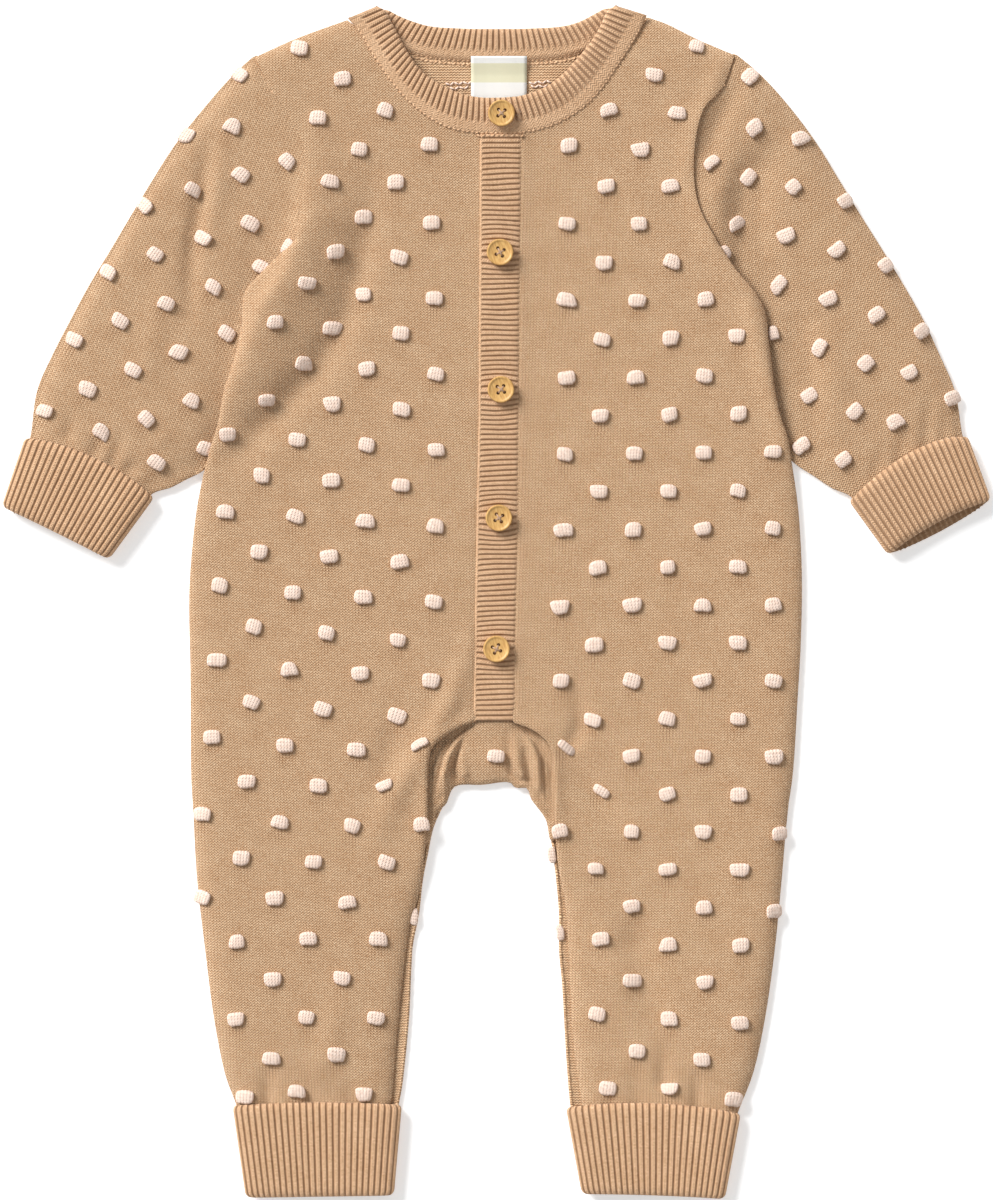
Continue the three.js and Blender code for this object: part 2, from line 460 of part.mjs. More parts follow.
// A turned-up cuff: corners in order start-left, start-right, mouth-right, mouth-left, seen along the leg or arm.
function cuff({ corners, startBow, skew = 0, mouthBow, lowerMouthBow = mouthBow, ribs }) {
  const wall = new Wall();
  const [startLeft, startRight, mouthRight, mouthLeft] = corners.map(([x, y]) => ({ x, y }));
  const axis = { x: (mouthLeft.x + mouthRight.x - startLeft.x - startRight.x) / 2, y: (mouthLeft.y + mouthRight.y - startLeft.y - startRight.y) / 2 };
  const length = Math.hypot(axis.x, axis.y);
  const place = (u, v, bowAtMouth) => {
    const bow = mix(startBow * (1 + skew * (2 * v - 1)), bowAtMouth, u) * (1 - (2 * v - 1) ** 2);
    const a = { x: mix(startLeft.x, startRight.x, v), y: mix(startLeft.y, startRight.y, v) };
    const b = { x: mix(mouthLeft.x, mouthRight.x, v), y: mix(mouthLeft.y, mouthRight.y, v) };
    return { x: mix(a.x, b.x, u) + (axis.x / length) * bow, y: mix(a.y, b.y, u) + (axis.y / length) * bow };
  };
  const middle = CUFF.height / 2;
  const ring = (u, share, ribHeight) => {
    const count = ribs * 2;
    const above = Array.from({ length: count + 1 }, (_, k) => {
      const v = k / count;
      const rise = (middle + 0.35) * share * roundness(v, 5);
      return { ...place(u, v, mouthBow), z: middle + rise - (k % 2 && k < count ? 0 : 1) * ribHeight * roundness(v, 8) };
    });
    const low = [0.985, 0.95, 0.75, 0.5, 0.25, 0.05, 0.015].map((v, k) => ({
      ...place(u, v, lowerMouthBow),
      z: k === 0 || k === 6 ? middle * 0.35 : middle * (1 - share) * 0.6,
    }));
    return [...above, ...low];
  };
  const rings = [ring(0, 0.8, 0.3), ring(0.07, 1, RIB.height), ring(0.94, 1, RIB.height), ring(1, 0.8, 0.3)]
    .map((points) => wall.add(points));
  const slot = (u) => {
    const side = CUFF.cavityInset / distance(startLeft, startRight);
    const shares = [0, 0.25, 0.5, 0.75, 1].map((t) => mix(side, 1 - side, t));
    const z = (high, k) => (k === 0 || k === 4 ? middle : high);
    return [
      ...shares.map((v, k) => ({ ...place(u, v, mouthBow), z: z(CUFF.cavityHigh, k) })),
      ...reversed(shares.slice(1, -1)).map((v) => ({ ...place(u, v, lowerMouthBow), z: CUFF.cavityLow })),
    ];
  };
  const flip = signedArea([startLeft, startRight, mouthRight, mouthLeft]) < 0;
  const [slotStart, slotMouth] = [wall.add(slot(0)), wall.add(slot(1))];
  rings.slice(1).forEach((r, k) => wall.bridge(rings[k], r, true));
  wall.bridge(slotMouth, slotStart, true);
  const halves = (list, top) => [list.slice(0, top), [...list.slice(top - 1), list[0]]];
  const [startTop, startLow] = halves(rings[0], ribs * 2 + 1);
  const [slotStartTop, slotStartLow] = halves(slotStart, 5);
  const [mouthTop, mouthLow] = halves(rings[3], ribs * 2 + 1);
  const [slotMouthTop, slotMouthLow] = halves(slotMouth, 5);
  wall.zip(slotStartTop, startTop);
  wall.zip(slotStartLow, startLow);
  wall.zip(mouthTop, slotMouthTop);
  wall.zip(mouthLow, slotMouthLow);
  if (!flip) return wall.geometry();
  const g = wall.geometry();
  g.setIndex(reversed(wall.triangles));
  return g;
}

// A closed strip from equal rings of points, capped at both ends.
function strip(rings) {
  const wall = new Wall();
  const indices = rings.map((ring) => wall.add(ring));
  indices.slice(1).forEach((ring, k) => wall.bridge(indices[k], ring, true));
  const cap = (ring, turn) => ring.slice(2).forEach((_, k) => {
    const [a, b, c] = [ring[0], ring[k + 1], ring[k + 2]];
    if (turn) wall.face(a, b, c);
    else wall.face(a, c, b);
  });
  cap(indices[0], false);
  cap(indices[indices.length - 1], true);
  return wall;
}

const volumeOf = (wall) => {
  const { points: p, triangles: t } = wall;
  let sum = 0;
  for (let k = 0; k < t.length; k += 3) {
    const [a, b, c] = [t[k] * 3, t[k + 1] * 3, t[k + 2] * 3];
    sum += p[a] * (p[b + 1] * p[c + 2] - p[b + 2] * p[c + 1]) - p[a + 1] * (p[b] * p[c + 2] - p[b + 2] * p[c])
      + p[a + 2] * (p[b] * p[c + 1] - p[b + 1] * p[c]);
  }
  return sum / 6;
};

// Turns a wall's faces outward where its volume counts below zero.
function outward(wall) {
  const g = wall.geometry();
  if (volumeOf(wall) < 0) g.setIndex(reversed(wall.triangles));
  return g;
}

// Ribbed band between two curves. The profile's columns: share across the band, height, and share of the rib's height.
// Both ends bulge a little along the garment.
function ribbedBand(inner, outer, count, profile, ribHeight, bulge = 0) {
  const curve = (table) => new THREE.CatmullRomCurve3(table.map((p) => new THREE.Vector3(p.x, p.y, 0)), false, 'centripetal');
  const [a, b] = [curve(inner).getSpacedPoints(count), curve(outer).getSpacedPoints(count)];
  return outward(strip(a.map((p, k) => profile.map(({ across, z, rib }) => ({
    x: mix(p.x, b[k].x, across),
    y: mix(p.y, b[k].y, across) + (k % count ? 0 : bulge * Math.sin(Math.PI * across)),
    z: z + (k % 2 ? rib * ribHeight : 0),
  })))));
}

function placket() {
  const [bottom, top] = [PLACKET_EDGE[0].y, PLACKET_EDGE[PLACKET_EDGE.length - 1].y];
  const crest = PLACKET.underside + PLACKET.thickness;
  const count = PLACKET.ribs * 2;
  const wall = new Wall();
  const side = (column, z) => Array.from({ length: count + 1 }, (_, k) => {
    const y = mix(bottom, top, k / count);
    return { x: lookUp(PLACKET_EDGE, y, column), y, z: z(k) };
  });
  const high = (k) => crest + (k % 2 ? 0.45 : 0);
  const [left, right] = [wall.add(side('left', high)), wall.add(side('right', high))];
  const low = (column) => PLACKET_EDGE.map((row) => ({ x: row[column], y: row.y, z: PLACKET.underside }));
  const [lowLeft, lowRight] = [wall.add(low('left')), wall.add(low('right'))];
  wall.bridge(right, left);
  wall.bridge(lowLeft, lowRight);
  wall.zip(lowRight, right);
  wall.zip(left, lowLeft);
  const last = lowLeft.length - 1;
  wall.quad(lowLeft[0], lowRight[0], right[0], left[0]);
  wall.quad(lowLeft[last], left[count], right[count], lowRight[last]);
  return outward(wall);
}

function placketUnder() {
  const z = 2.1;
  return outward(strip(PLACKET_EDGE.filter((_, k) => k !== 2).map(({ y, right }, k) => {
    const [x1, x2, yy] = [-14, right - 1.5, k === 0 ? y + 4 : y];
    return [{ x: x1, y: yy, z }, { x: x2, y: yy, z }, { x: x2, y: yy, z: z + CLOTH }, { x: x1, y: yy, z: z + CLOTH }];
  })));
}

function label() {
  const table = rows('y z', [[245, 3.65], [241.5, 3], [237, 2.2], [222, 2.1]]);
  return outward(strip(table.map(({ y, z }) => [
    { x: LABEL.left, y, z }, { x: LABEL.right, y, z },
    { x: LABEL.right, y, z: z + LABEL.thickness }, { x: LABEL.left, y, z: z + LABEL.thickness },
  ])));
}

const wasm = await Module();
wasm.setup();

const toSolid = (geometry) => {
  const g = geometry.clone();
  g.deleteAttribute('normal');
  g.deleteAttribute('uv');
  const m = mergeVertices(g, 1e-4);
  return new wasm.Manifold(new wasm.Mesh({
    numProp: 3,
    vertProperties: new Float32Array(m.attributes.position.array),
    triVerts: new Uint32Array(m.index.array),
  }));
};

// A dished disc with four holes right through it.
function button({ x, y, z }) {
  const { radius: r, thickness: t } = BUTTON;
  const profile = rows('r z', [[r - 0.8, 0], [r, 1], [r - 0.5, t], [r - 2.1, t - 0.1], [r - 2.7, t - BUTTON.dish]]);
  const disc = strip(profile.map((row) => Array.from({ length: BUTTON.sides }, (_, k) => {
    const angle = (2 * Math.PI * k) / BUTTON.sides;
    return { x: row.r * Math.cos(angle), y: row.r * Math.sin(angle), z: row.z };
  })));
  let solid = toSolid(outward(disc));
  for (let k = 0; k < 4; k += 1) {
    const angle = Math.PI * (0.25 + k / 2);
    const pin = new THREE.CylinderGeometry(BUTTON.hole, BUTTON.hole, 3 * t, 6).rotateX(Math.PI / 2);
    pin.translate(BUTTON.holeReach * Math.cos(angle), BUTTON.holeReach * Math.sin(angle), t / 2);
    solid = solid.subtract(toSolid(pin));
  }
  return fromMesh(solid.translate([x, y, z]).getMesh());
}

// The garment
const garment = new THREE.Group();
garment.name = 'baby_romper';
const KNIT = { color: 0xcda887, roughness: 0.93, metalness: 0 };
const RIBBING = { color: 0xc39d78, roughness: 0.94, metalness: 0 };
const WOOD = { color: 0xd0a773, roughness: 0.5, metalness: 0 };
const TAPE = { color: 0xefeee6, roughness: 0.8, metalness: 0 };

function addPiece(name, geometry, look) {
  const mesh = new THREE.Mesh(geometry, new THREE.MeshStandardMaterial(look));
  mesh.name = name;
  garment.add(mesh);
}

const slitLeft = PLACKET_EDGE.map((row) => ({ x: row.left - row.gap, y: row.y - 1 + 3.6 * (row.y > 200), z: 4.5 }));
const slitRight = PLACKET_EDGE.map((row) => ({ x: row.right + SEAM_GAP, y: row.y - 1 + 3.6 * (row.y > 200), z: 4.5 }));
slitLeft[0] = ARCH_LEFT[ARCH_LEFT.length - 1];
slitRight[0] = ARCH_RIGHT[ARCH_RIGHT.length - 1];
slitLeft[slitLeft.length - 1] = NECK_LEFT[0];
slitRight[slitRight.length - 1] = NECK_RIGHT[0];

function frontLoop(neck, shoulder, armhole, side, hem, inseam, arch, slit) {
  return counterclockwise(joinEdges(
    smoothEdge(neck, 8, 3), smoothEdge(shoulder, SIDE_STEP, 4), smoothEdge(armhole, ARMHOLE_STEP, 3),
    smoothEdge(side, SIDE_STEP, 4.5), smoothEdge(hem, 9, 3), smoothEdge(inseam, SIDE_STEP, 4.5),
    smoothEdge(arch, 7, 3), smoothEdge(slit, 14, 3),
  ));
}

const leftLoop = frontLoop(NECK_LEFT, SHOULDER_LEFT, ARMHOLE_LEFT, SIDE_LEFT, HEM_LEFT, INSEAM_LEFT, ARCH_LEFT, slitLeft);
const rightLoop = frontLoop(NECK_RIGHT, SHOULDER_RIGHT, ARMHOLE_RIGHT, SIDE_RIGHT, HEM_RIGHT, INSEAM_RIGHT, ARCH_RIGHT, slitRight);
const frontInner = (p) => FRONT_UNDERSIDE + 0.5 * Math.sin(p.y / 61 + 1.3) * Math.cos(p.x / 43) - creaseAt(p);
const frontPanel = (name, loop) => panel(loop, frontInner, bobblesIn(name, loop, []), latticeOf(name, 1));
addPiece('front_left', frontPanel('front_left', leftLoop), KNIT);
addPiece('front_right', frontPanel('front_right', rightLoop), KNIT);

const flat = (table) => table.map((p) => ({ ...p, z: 0 }));
const inFrom = (table, amount) => flat(table).map((p) => ({ ...p, x: p.x - Math.sign(p.x) * amount }));
const lastOf = (table) => table[table.length - 1];
const backCrotch = [lastOf(BACK_INSEAM_RIGHT), { x: 4, y: -79 }, { x: -10, y: -79 }, lastOf(BACK_INSEAM_LEFT)];
const backLoop = counterclockwise(joinEdges(
  smoothEdge(inFrom([{ x: -61.6, y: 259 }, ...BACK_NECK_LOWER.slice(1, -1), { x: 61.6, y: 259.4 }].map(
    (p) => ({ x: p.x, y: p.y - SEAM_GAP })), 0), 9),
  smoothEdge(inFrom(SHOULDER_RIGHT, 0.5), SIDE_STEP), smoothEdge(inFrom(ARMHOLE_RIGHT, 0.3), ARMHOLE_STEP),
  smoothEdge(flat(BACK_SIDE_RIGHT), SIDE_STEP), smoothEdge(flat(HEM_RIGHT), 14),
  smoothEdge(flat(BACK_INSEAM_RIGHT), SIDE_STEP), smoothEdge(backCrotch, SIDE_STEP),
  smoothEdge(reversed(flat(BACK_INSEAM_LEFT)), SIDE_STEP),
  smoothEdge([BACK_INSEAM_LEFT[0], ...reversed(flat(HEM_LEFT)).slice(1)], 14), smoothEdge(reversed(flat(BACK_SIDE_LEFT)), SIDE_STEP),
  smoothEdge(reversed(inFrom(ARMHOLE_LEFT, 0.3)), ARMHOLE_STEP), smoothEdge(reversed(inFrom(SHOULDER_LEFT, 0.5)), SIDE_STEP),
));
addPiece('back', panel(backLoop, () => 0, [], []), KNIT);

const gussetLoop = counterclockwise(joinEdges(smoothEdge(GUSSET_HIDDEN, 8, 3), smoothEdge(GUSSET_LOWER, 5, 3)));
const gussetRise = (p) => 2.1 + 0.9 * Math.exp(-(((p.x + 1) / 16) ** 2) - ((p.y + 72) / 9) ** 2);
const gussetBobble = { x: -0.2, y: -69.9, angle: 0.08 };
addPiece('crotch_gusset', panel(gussetLoop, gussetRise, [{ ...gussetBobble, ring: bobbleRing(gussetBobble) }], [
  { x: -18, y: -68 }, { x: 15, y: -69 }, { x: -12, y: -77 }, { x: 11, y: -77 }, { x: -25, y: -84 }, { x: 21, y: -84 }]), KNIT);

function sleeveEdges(outerTable, hiddenTable, armholeTable, cuffStart, side) {
  const outer = smoothEdge(outerTable.map((p) => ({ ...p, z: 2.7 })), SIDE_STEP, 4);
  const hidden = smoothEdge(reversed(hiddenTable).map((p) => ({ ...p, z: 2.7 })), SIDE_STEP, 11);
  const last = armholeTable.length - 1;
  const away = armholeTable.map((p, k) => ({ x: p.x + side * ARMHOLE_GAP, y: p.y, z: k > last - 2 ? 4.4 : p.z + CLOTH }));
  away[0] = outer[outer.length - 1];
  away[last] = hidden[0];
  const mouth = smoothEdge([hidden[hidden.length - 1], ...cuffStart, outer[0]], 9, 3);
  return { outer, armhole: smoothEdge(away, ARMHOLE_STEP, 3), hidden, mouth };
}

const sleeveInner = (p) => SLEEVE_TOP + 0.3 * Math.sin(p.x / 19 + p.y / 31) - creaseAt(p);
const SLEEVES = {
  sleeve_left: sleeveEdges(SLEEVE_LEFT_OUTER, SLEEVE_LEFT_INNER, ARMHOLE_LEFT, rows('x y z', [
    [-169.2, 58.2, 5.6], [-181.3, 65, 5.8], [-193.3, 70.2, 5.6]]), -1),
  sleeve_right: sleeveEdges(SLEEVE_RIGHT_OUTER, SLEEVE_RIGHT_INNER, ARMHOLE_RIGHT, rows('x y z', [
    [168, 55.1, 5.6], [178.8, 63.2, 5.8], [189.8, 69.9, 5.6]]), 1),
};
Object.entries(SLEEVES).forEach(([name, edges]) => {
  const loop = counterclockwise(joinEdges(edges.outer, edges.armhole, edges.hidden, edges.mouth));
  const bobbles = bobblesIn(name, loop, [leftLoop, rightLoop]);
  addPiece(name, sleeve(edges, sleeveInner, bobbles, latticeOf(name, 1)), KNIT);
});

const CUFFS = {
  sleeve_cuff_left: { corners: [[-153.6, 46.6], [-212.2, 73.8], [-222.8, 42.4], [-174.2, 18.4]], startBow: -4.6, mouthBow: -0.2, ribs: 23 },
  sleeve_cuff_right: { corners: [[212, 74.6], [158.2, 45], [176, 20.4], [222.8, 45.4]],
    startBow: -5.4, skew: -0.3, mouthBow: -2.4, lowerMouthBow: 1.8, ribs: 22 },
  leg_cuff_left: { corners: [[-42.4, -226.7], [-119, -227], [-113, -268.6], [-46, -267.6]], startBow: -1.2, mouthBow: 0, ribs: 27 },
  leg_cuff_right: { corners: [[110.2, -230.6], [31, -227.8], [38.2, -267], [103, -269.2]], startBow: -3.2, mouthBow: -0.6, ribs: 27 },
};
Object.entries(CUFFS).forEach(([name, spec]) => addPiece(name, cuff(spec), RIBBING));

const crest = BAND.underside + BAND.thickness;
addPiece('neckband_front', ribbedBand(NECK_INNER, NECK_OUTER, BAND.ribs * 2, rows('across z rib', [
  [0, BAND.underside + 0.3, 0], [0, crest - 0.8, 0.6], [0.08, crest, 1], [0.66, crest, 1], [0.74, crest - 0.6, 0],
  [1, crest - 0.9, 0], [1, BAND.underside, 0]]), BAND.rib, 1.8), RIBBING);
addPiece('neckband_back', ribbedBand(BACK_NECK_UPPER, BACK_NECK_LOWER, BACK_BAND.ribs * 2, rows('across z rib', [
  [0, 0, 0], [0, BACK_BAND.thickness - 0.4, 0.5], [0.1, BACK_BAND.thickness, 1], [0.7, BACK_BAND.thickness, 1],
  [1, 2.3, 0], [1, 0, 0]]), BACK_BAND.rib), RIBBING);
addPiece('placket', placket(), RIBBING);
addPiece('placket_under', placketUnder(), RIBBING);

const bandTop = crest + BAND.rib + SEAM_GAP;
const placketTop = PLACKET.underside + PLACKET.thickness + 0.45 + SEAM_GAP;
rows('x y z', [[2.2, 218.9, bandTop], [1.6, 156.4, placketTop], [2, 94.8, placketTop], [1.1, 37.1, placketTop],
  [0, -21.8, placketTop]]).forEach((place, k) => addPiece(`button_${k + 1}`, button(place), WOOD));
addPiece('neck_label', label(), TAPE);

// The middle of the garment's length and width comes to the origin.
const box = new THREE.Box3().setFromObject(garment);
const centre = box.getCenter(new THREE.Vector3());
garment.children.forEach((mesh) => mesh.geometry.translate(-centre.x, -centre.y, -box.min.z));

export default garment;
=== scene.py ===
"""Knitted baby romper laid flat, seen from above. Lengths are in millimetres until a mesh is made."""
import math

import bmesh
import bpy
import numpy as np
from mathutils import Euler, Matrix, Vector
from mathutils.geometry import delaunay_2d_cdt


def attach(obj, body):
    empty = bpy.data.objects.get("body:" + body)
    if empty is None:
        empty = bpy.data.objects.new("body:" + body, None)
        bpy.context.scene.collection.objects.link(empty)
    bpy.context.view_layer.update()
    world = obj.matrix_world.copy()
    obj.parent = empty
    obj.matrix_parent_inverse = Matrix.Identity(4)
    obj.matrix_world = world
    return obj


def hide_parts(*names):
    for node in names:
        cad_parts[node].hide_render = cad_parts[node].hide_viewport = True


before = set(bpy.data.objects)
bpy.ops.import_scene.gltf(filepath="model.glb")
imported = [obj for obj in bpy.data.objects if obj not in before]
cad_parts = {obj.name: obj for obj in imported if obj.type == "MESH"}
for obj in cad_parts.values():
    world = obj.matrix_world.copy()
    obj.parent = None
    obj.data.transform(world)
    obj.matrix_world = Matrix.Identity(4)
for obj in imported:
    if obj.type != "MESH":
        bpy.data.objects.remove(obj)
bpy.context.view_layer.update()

MM = 0.001
CLOTH = 1.7  # thickness of a knitted layer
SHELL = 1.3  # wall that a layer gets below its surface
GRAIN = 2.1  # spacing of the points inside a panel
EDGE_STEP = 2.0  # spacing of the points along a panel's edge
EDGE_ROWS = (0.25, 0.8, 1.6, 2.7)  # rows of points that follow the edge
FRONT_UNDERSIDE = 4.4
SLEEVE_TOP = 6.4
WALE = 1.45  # width of a column of stitches
COURSE = 1.19  # height of a row of stitches
BOBBLE = {"width": 7.9, "length": 6.4, "height": 1.95}
PRESSED = {"width": 8.8, "length": 7.2, "height": 0.35}  # a bobble under the garment
CHUNK = 1500  # points measured at a time
chance = np.random.default_rng(11)

# Edges of the panels, seen from above; z is the height of the panel's underside there.
NECK_LEFT = [  # x y z
    (-9.9, 210.2, 4.5), (-22.9, 212.6, 4.5), (-34.9, 219.7, 4.5), (-45.1, 229.7, 4.4),
    (-55.2, 243.8, 4.2), (-62.2, 255.8, 3.4), (-67.2, 261.3, 2.4),
]
NECK_RIGHT = [  # x y z
    (11.5, 210.2, 4.5), (23.7, 212.6, 4.5), (35.9, 218.7, 4.5), (45.9, 227.7, 4.4), (56, 241.8, 4.2),
    (64, 254.9, 3.4), (68, 262.6, 2.4),
]
SHOULDER_LEFT = [  # x y z
    (-67.2, 261.3, 2.4), (-79, 257.2, 2.2), (-91.6, 252.4, 2.2), (-108.7, 244.6, 2.4),
]
SHOULDER_RIGHT = [  # x y z
    (68, 262.6, 2.4), (77, 259.4, 2.2), (90, 252.9, 2.2), (107.3, 245.5, 2.4),
]
ARMHOLE_LEFT = [  # x y z
    (-108.7, 244.6, 2.4), (-101.9, 230.2, 4.1), (-92.9, 216.7, 4.6), (-88, 206.8, 4.7),
    (-86.2, 196.9, 4.7), (-86.6, 189.7, 4.7), (-88.4, 178.9, 4.9), (-89.8, 168.1, 5),
    (-90.4, 162.2, 5.1),
]
ARMHOLE_RIGHT = [  # x y z
    (107.3, 245.5, 2.4), (101.9, 231.1, 4), (93.4, 221.2, 4.6), (90.2, 210.8, 4.7), (88.9, 200.5, 4.7),
    (88.9, 189.7, 4.7), (90.2, 180.2, 4.9), (93.4, 171.7, 5), (99.7, 160.9, 5.1),
]
SIDE_LEFT = [  # x y z
    (-90.4, 162.2, 5.1), (-105.5, 147.8, 5.1), (-113.2, 138.4, 5.1), (-114.8, 122.2, 5),
    (-118.1, 108.2, 5), (-122.6, 94.3, 5), (-125.3, 79.9, 4.9), (-128.5, 69.5, 4.6),
    (-131.2, 59.5, 3.7), (-133.4, 49.7, 2.6), (-135.2, 39.8, 2.1), (-137.5, 18.2, 2.1),
    (-138.4, 0.2, 2.1), (-137.8, -31.7, 2.1), (-137.5, -78.5, 2.1), (-136.6, -94.3, 2.1),
    (-134.8, -125.8, 2.1), (-131.2, -157.3, 2.1), (-127.1, -188.8, 2.1), (-122, -214, 2.1),
    (-117.5, -226.2, 2.4),
]
SIDE_RIGHT = [  # x y z
    (99.7, 160.9, 5.1), (107.8, 148.7, 5.1), (115, 140.2, 5.1), (120.4, 131.2, 5), (122.6, 115.4, 5),
    (125.3, 94.3, 5), (127.6, 83.5, 4.9), (131.2, 72.7, 4.6), (132.7, 63.2, 3.7), (134.8, 49.7, 2.6),
    (136.1, 38.9, 2.1), (137.5, 11.5, 2.1), (137, -19.6, 2.1), (135.7, -42.5, 2.1), (133.4, -78.5, 2.1),
    (131.2, -94.3, 2.1), (128.4, -125.8, 2.1), (125.3, -157.3, 2.1), (120.8, -188.8, 2.1),
    (115.5, -213, 2.1), (109, -229.8, 2.4),
]
INSEAM_LEFT = [  # x y z
    (-47.5, -225.9, 2.4), (-45, -197.8, 2.1), (-41.2, -161.8, 2.1), (-39.2, -147, 2.1),
    (-34.9, -132.1, 2.4), (-32.4, -115, 4.4), (-31, -97, 4.8),
]
INSEAM_RIGHT = [  # x y z
    (38.5, -226.6, 2.4), (34.4, -197.8, 2.1), (32.6, -161.8, 2.1), (30.8, -136.1, 2.3),
    (27.6, -118, 4.2), (26, -97, 4.8),
]
ARCH_LEFT = [  # x y z
    (-31, -97, 4.8), (-30.6, -76, 4.9), (-28.6, -66, 4.9), (-23.2, -61.2, 4.9), (-16.4, -57, 4.8),
    (-9.4, -54.6, 4.6),
]
ARCH_RIGHT = [  # x y z
    (26, -97, 4.8), (25.6, -76, 4.9), (23.6, -65, 4.9), (17.5, -59, 4.9), (7.4, -54.8, 4.6),
]
PLACKET_EDGE = [  # y left right gap; a gap below 0 is closed
    (-53.6, -10.2, 8.2, -0.9), (-22.3, -9.8, 8.4, -0.9), (30, -8.9, 9.6, -0.9), (81.2, -7.9, 9.9, -0.9),
    (135.2, -7.6, 10.3, -0.9), (166, -7.4, 10.7, -0.9), (178, -7.4, 10.8, -0.5), (207.6, -7.3, 11.1, 0.25),
]
NECK_INNER = [  # x y
    (-51.2, 268.1), (-45.8, 257.2), (-34.7, 239.2), (-22.7, 230.6), (-10.6, 226.6), (1.4, 226.1),
    (13.5, 227.5), (25.5, 233), (37.6, 245.1), (45.6, 256.1), (50.9, 268.2),
]
NECK_OUTER = [  # x y
    (-66.4, 261.9), (-61.6, 256.3), (-54.6, 244.3), (-44.5, 230.2), (-34.5, 220.4), (-22.6, 213.3),
    (-9.9, 210.6), (0.5, 210.2), (11.5, 210.6), (23.5, 213.3), (35.5, 219.4), (45.4, 228.3),
    (55.3, 242.3), (63.4, 255.4), (67.2, 263.2),
]
BACK_NECK_UPPER = [  # x y
    (-51.6, 267.6), (-44, 263.3), (-36, 260.2), (-29.7, 258.6), (-15, 257.6), (0, 257.4), (15, 257.6),
    (29.7, 258.6), (37, 260.5), (44, 264), (51.4, 268.2),
]
BACK_NECK_LOWER = [  # x y
    (-61, 259.4), (-53, 252.6), (-44, 248.8), (-36.8, 246.9), (-29.7, 245.2), (-15, 243.9), (0, 243.4),
    (15, 243.9), (29.7, 245.2), (37, 247), (44, 249.2), (53, 253.2), (61, 260),
]
SLEEVE_LEFT_OUTER = [  # x y
    (-209.6, 75.4), (-206.8, 94.7), (-200, 110.5), (-191.9, 126.2), (-183.4, 142), (-173.9, 157.7),
    (-164.5, 173.5), (-155, 189.2), (-144.9, 205), (-132.6, 220.7), (-119.7, 235.4), (-109.2, 245),
]
SLEEVE_LEFT_INNER = [  # x y
    (-154.4, 48.4), (-147, 50.7), (-140.2, 54.2), (-131, 59.4), (-123, 72), (-116.5, 90), (-110.5, 108),
    (-105, 122), (-100, 136), (-95, 150), (-90.9, 161.6),
]
SLEEVE_RIGHT_OUTER = [  # x y
    (209.6, 75.6), (206.3, 94.7), (199.6, 110.5), (192.3, 126.2), (183.4, 142), (173.9, 157.7),
    (164, 173.5), (154.4, 189.2), (144.7, 205), (133.2, 220.7), (119.6, 236), (107.9, 245.8),
]
SLEEVE_RIGHT_INNER = [  # x y
    (158.9, 47.2), (151.4, 50.4), (143.5, 55.6), (132.4, 63.4), (124, 76), (118.4, 92), (113.5, 110),
    (109.5, 126), (106.5, 138), (103.5, 148), (100.3, 160.6),
]
BACK_INSEAM_LEFT = [  # x y
    (-43.8, -226), (-42.5, -219), (-39.4, -188.8), (-38.3, -165), (-37.6, -155), (-34.9, -141.5),
    (-33.1, -125.8), (-31, -115), (-28.2, -102), (-23, -90.5), (-19.5, -82.6),
]
BACK_INSEAM_RIGHT = [  # x y
    (33.1, -226.6), (31.3, -204.5), (29.5, -173), (28.1, -157.3), (28.1, -141.5), (26.8, -125.8),
    (24.9, -110.5), (22.5, -99.5), (16.5, -90), (13.5, -83),
]
BACK_SIDE_LEFT = [  # x y
    (-89.6, 162), (-93.5, 149), (-98.5, 135), (-103.5, 121), (-109, 107), (-115, 89), (-121.4, 71),
    (-129, 57.5), (-133.2, 46), (-135.4, 30), (-137.6, 0), (-137, -78), (-134.2, -126), (-126.5, -189),
    (-117.5, -226),
]
BACK_SIDE_RIGHT = [  # x y
    (99, 160.6), (102, 147), (105, 137), (108, 125), (112, 109), (117, 91), (122.6, 75), (131, 61.4),
    (134, 48), (136, 30), (136.8, 0), (132.8, -78), (127.8, -126), (120, -189), (109, -229.6),
]
GUSSET_HIDDEN = [  # x y z
    (-33, -113.5, 2.1), (-34, -92, 2.1), (-32.5, -68, 2.1), (-25, -58, 2.1), (-12, -51, 2.1),
    (0, -50, 2.1), (11, -51.5, 2.1), (20, -57, 2.1), (26.5, -65, 2.1), (28.8, -92, 2.1),
    (27, -108, 2.1),
]
GUSSET_LOWER = [  # x y z
    (27, -108, 2.1), (24.6, -108.5, 2.1), (22.1, -98.5, 2.1), (15.7, -89.6, 2.1), (13.7, -84.6, 2.1),
    (8.5, -84.4, 2.1), (6.1, -82, 2.1), (-6.5, -83, 2.1), (-18.9, -83.9, 2.1), (-22.9, -92, 2.1),
    (-26.5, -94.8, 2.1), (-28.9, -104, 2.1), (-33, -113.5, 2.1),
]
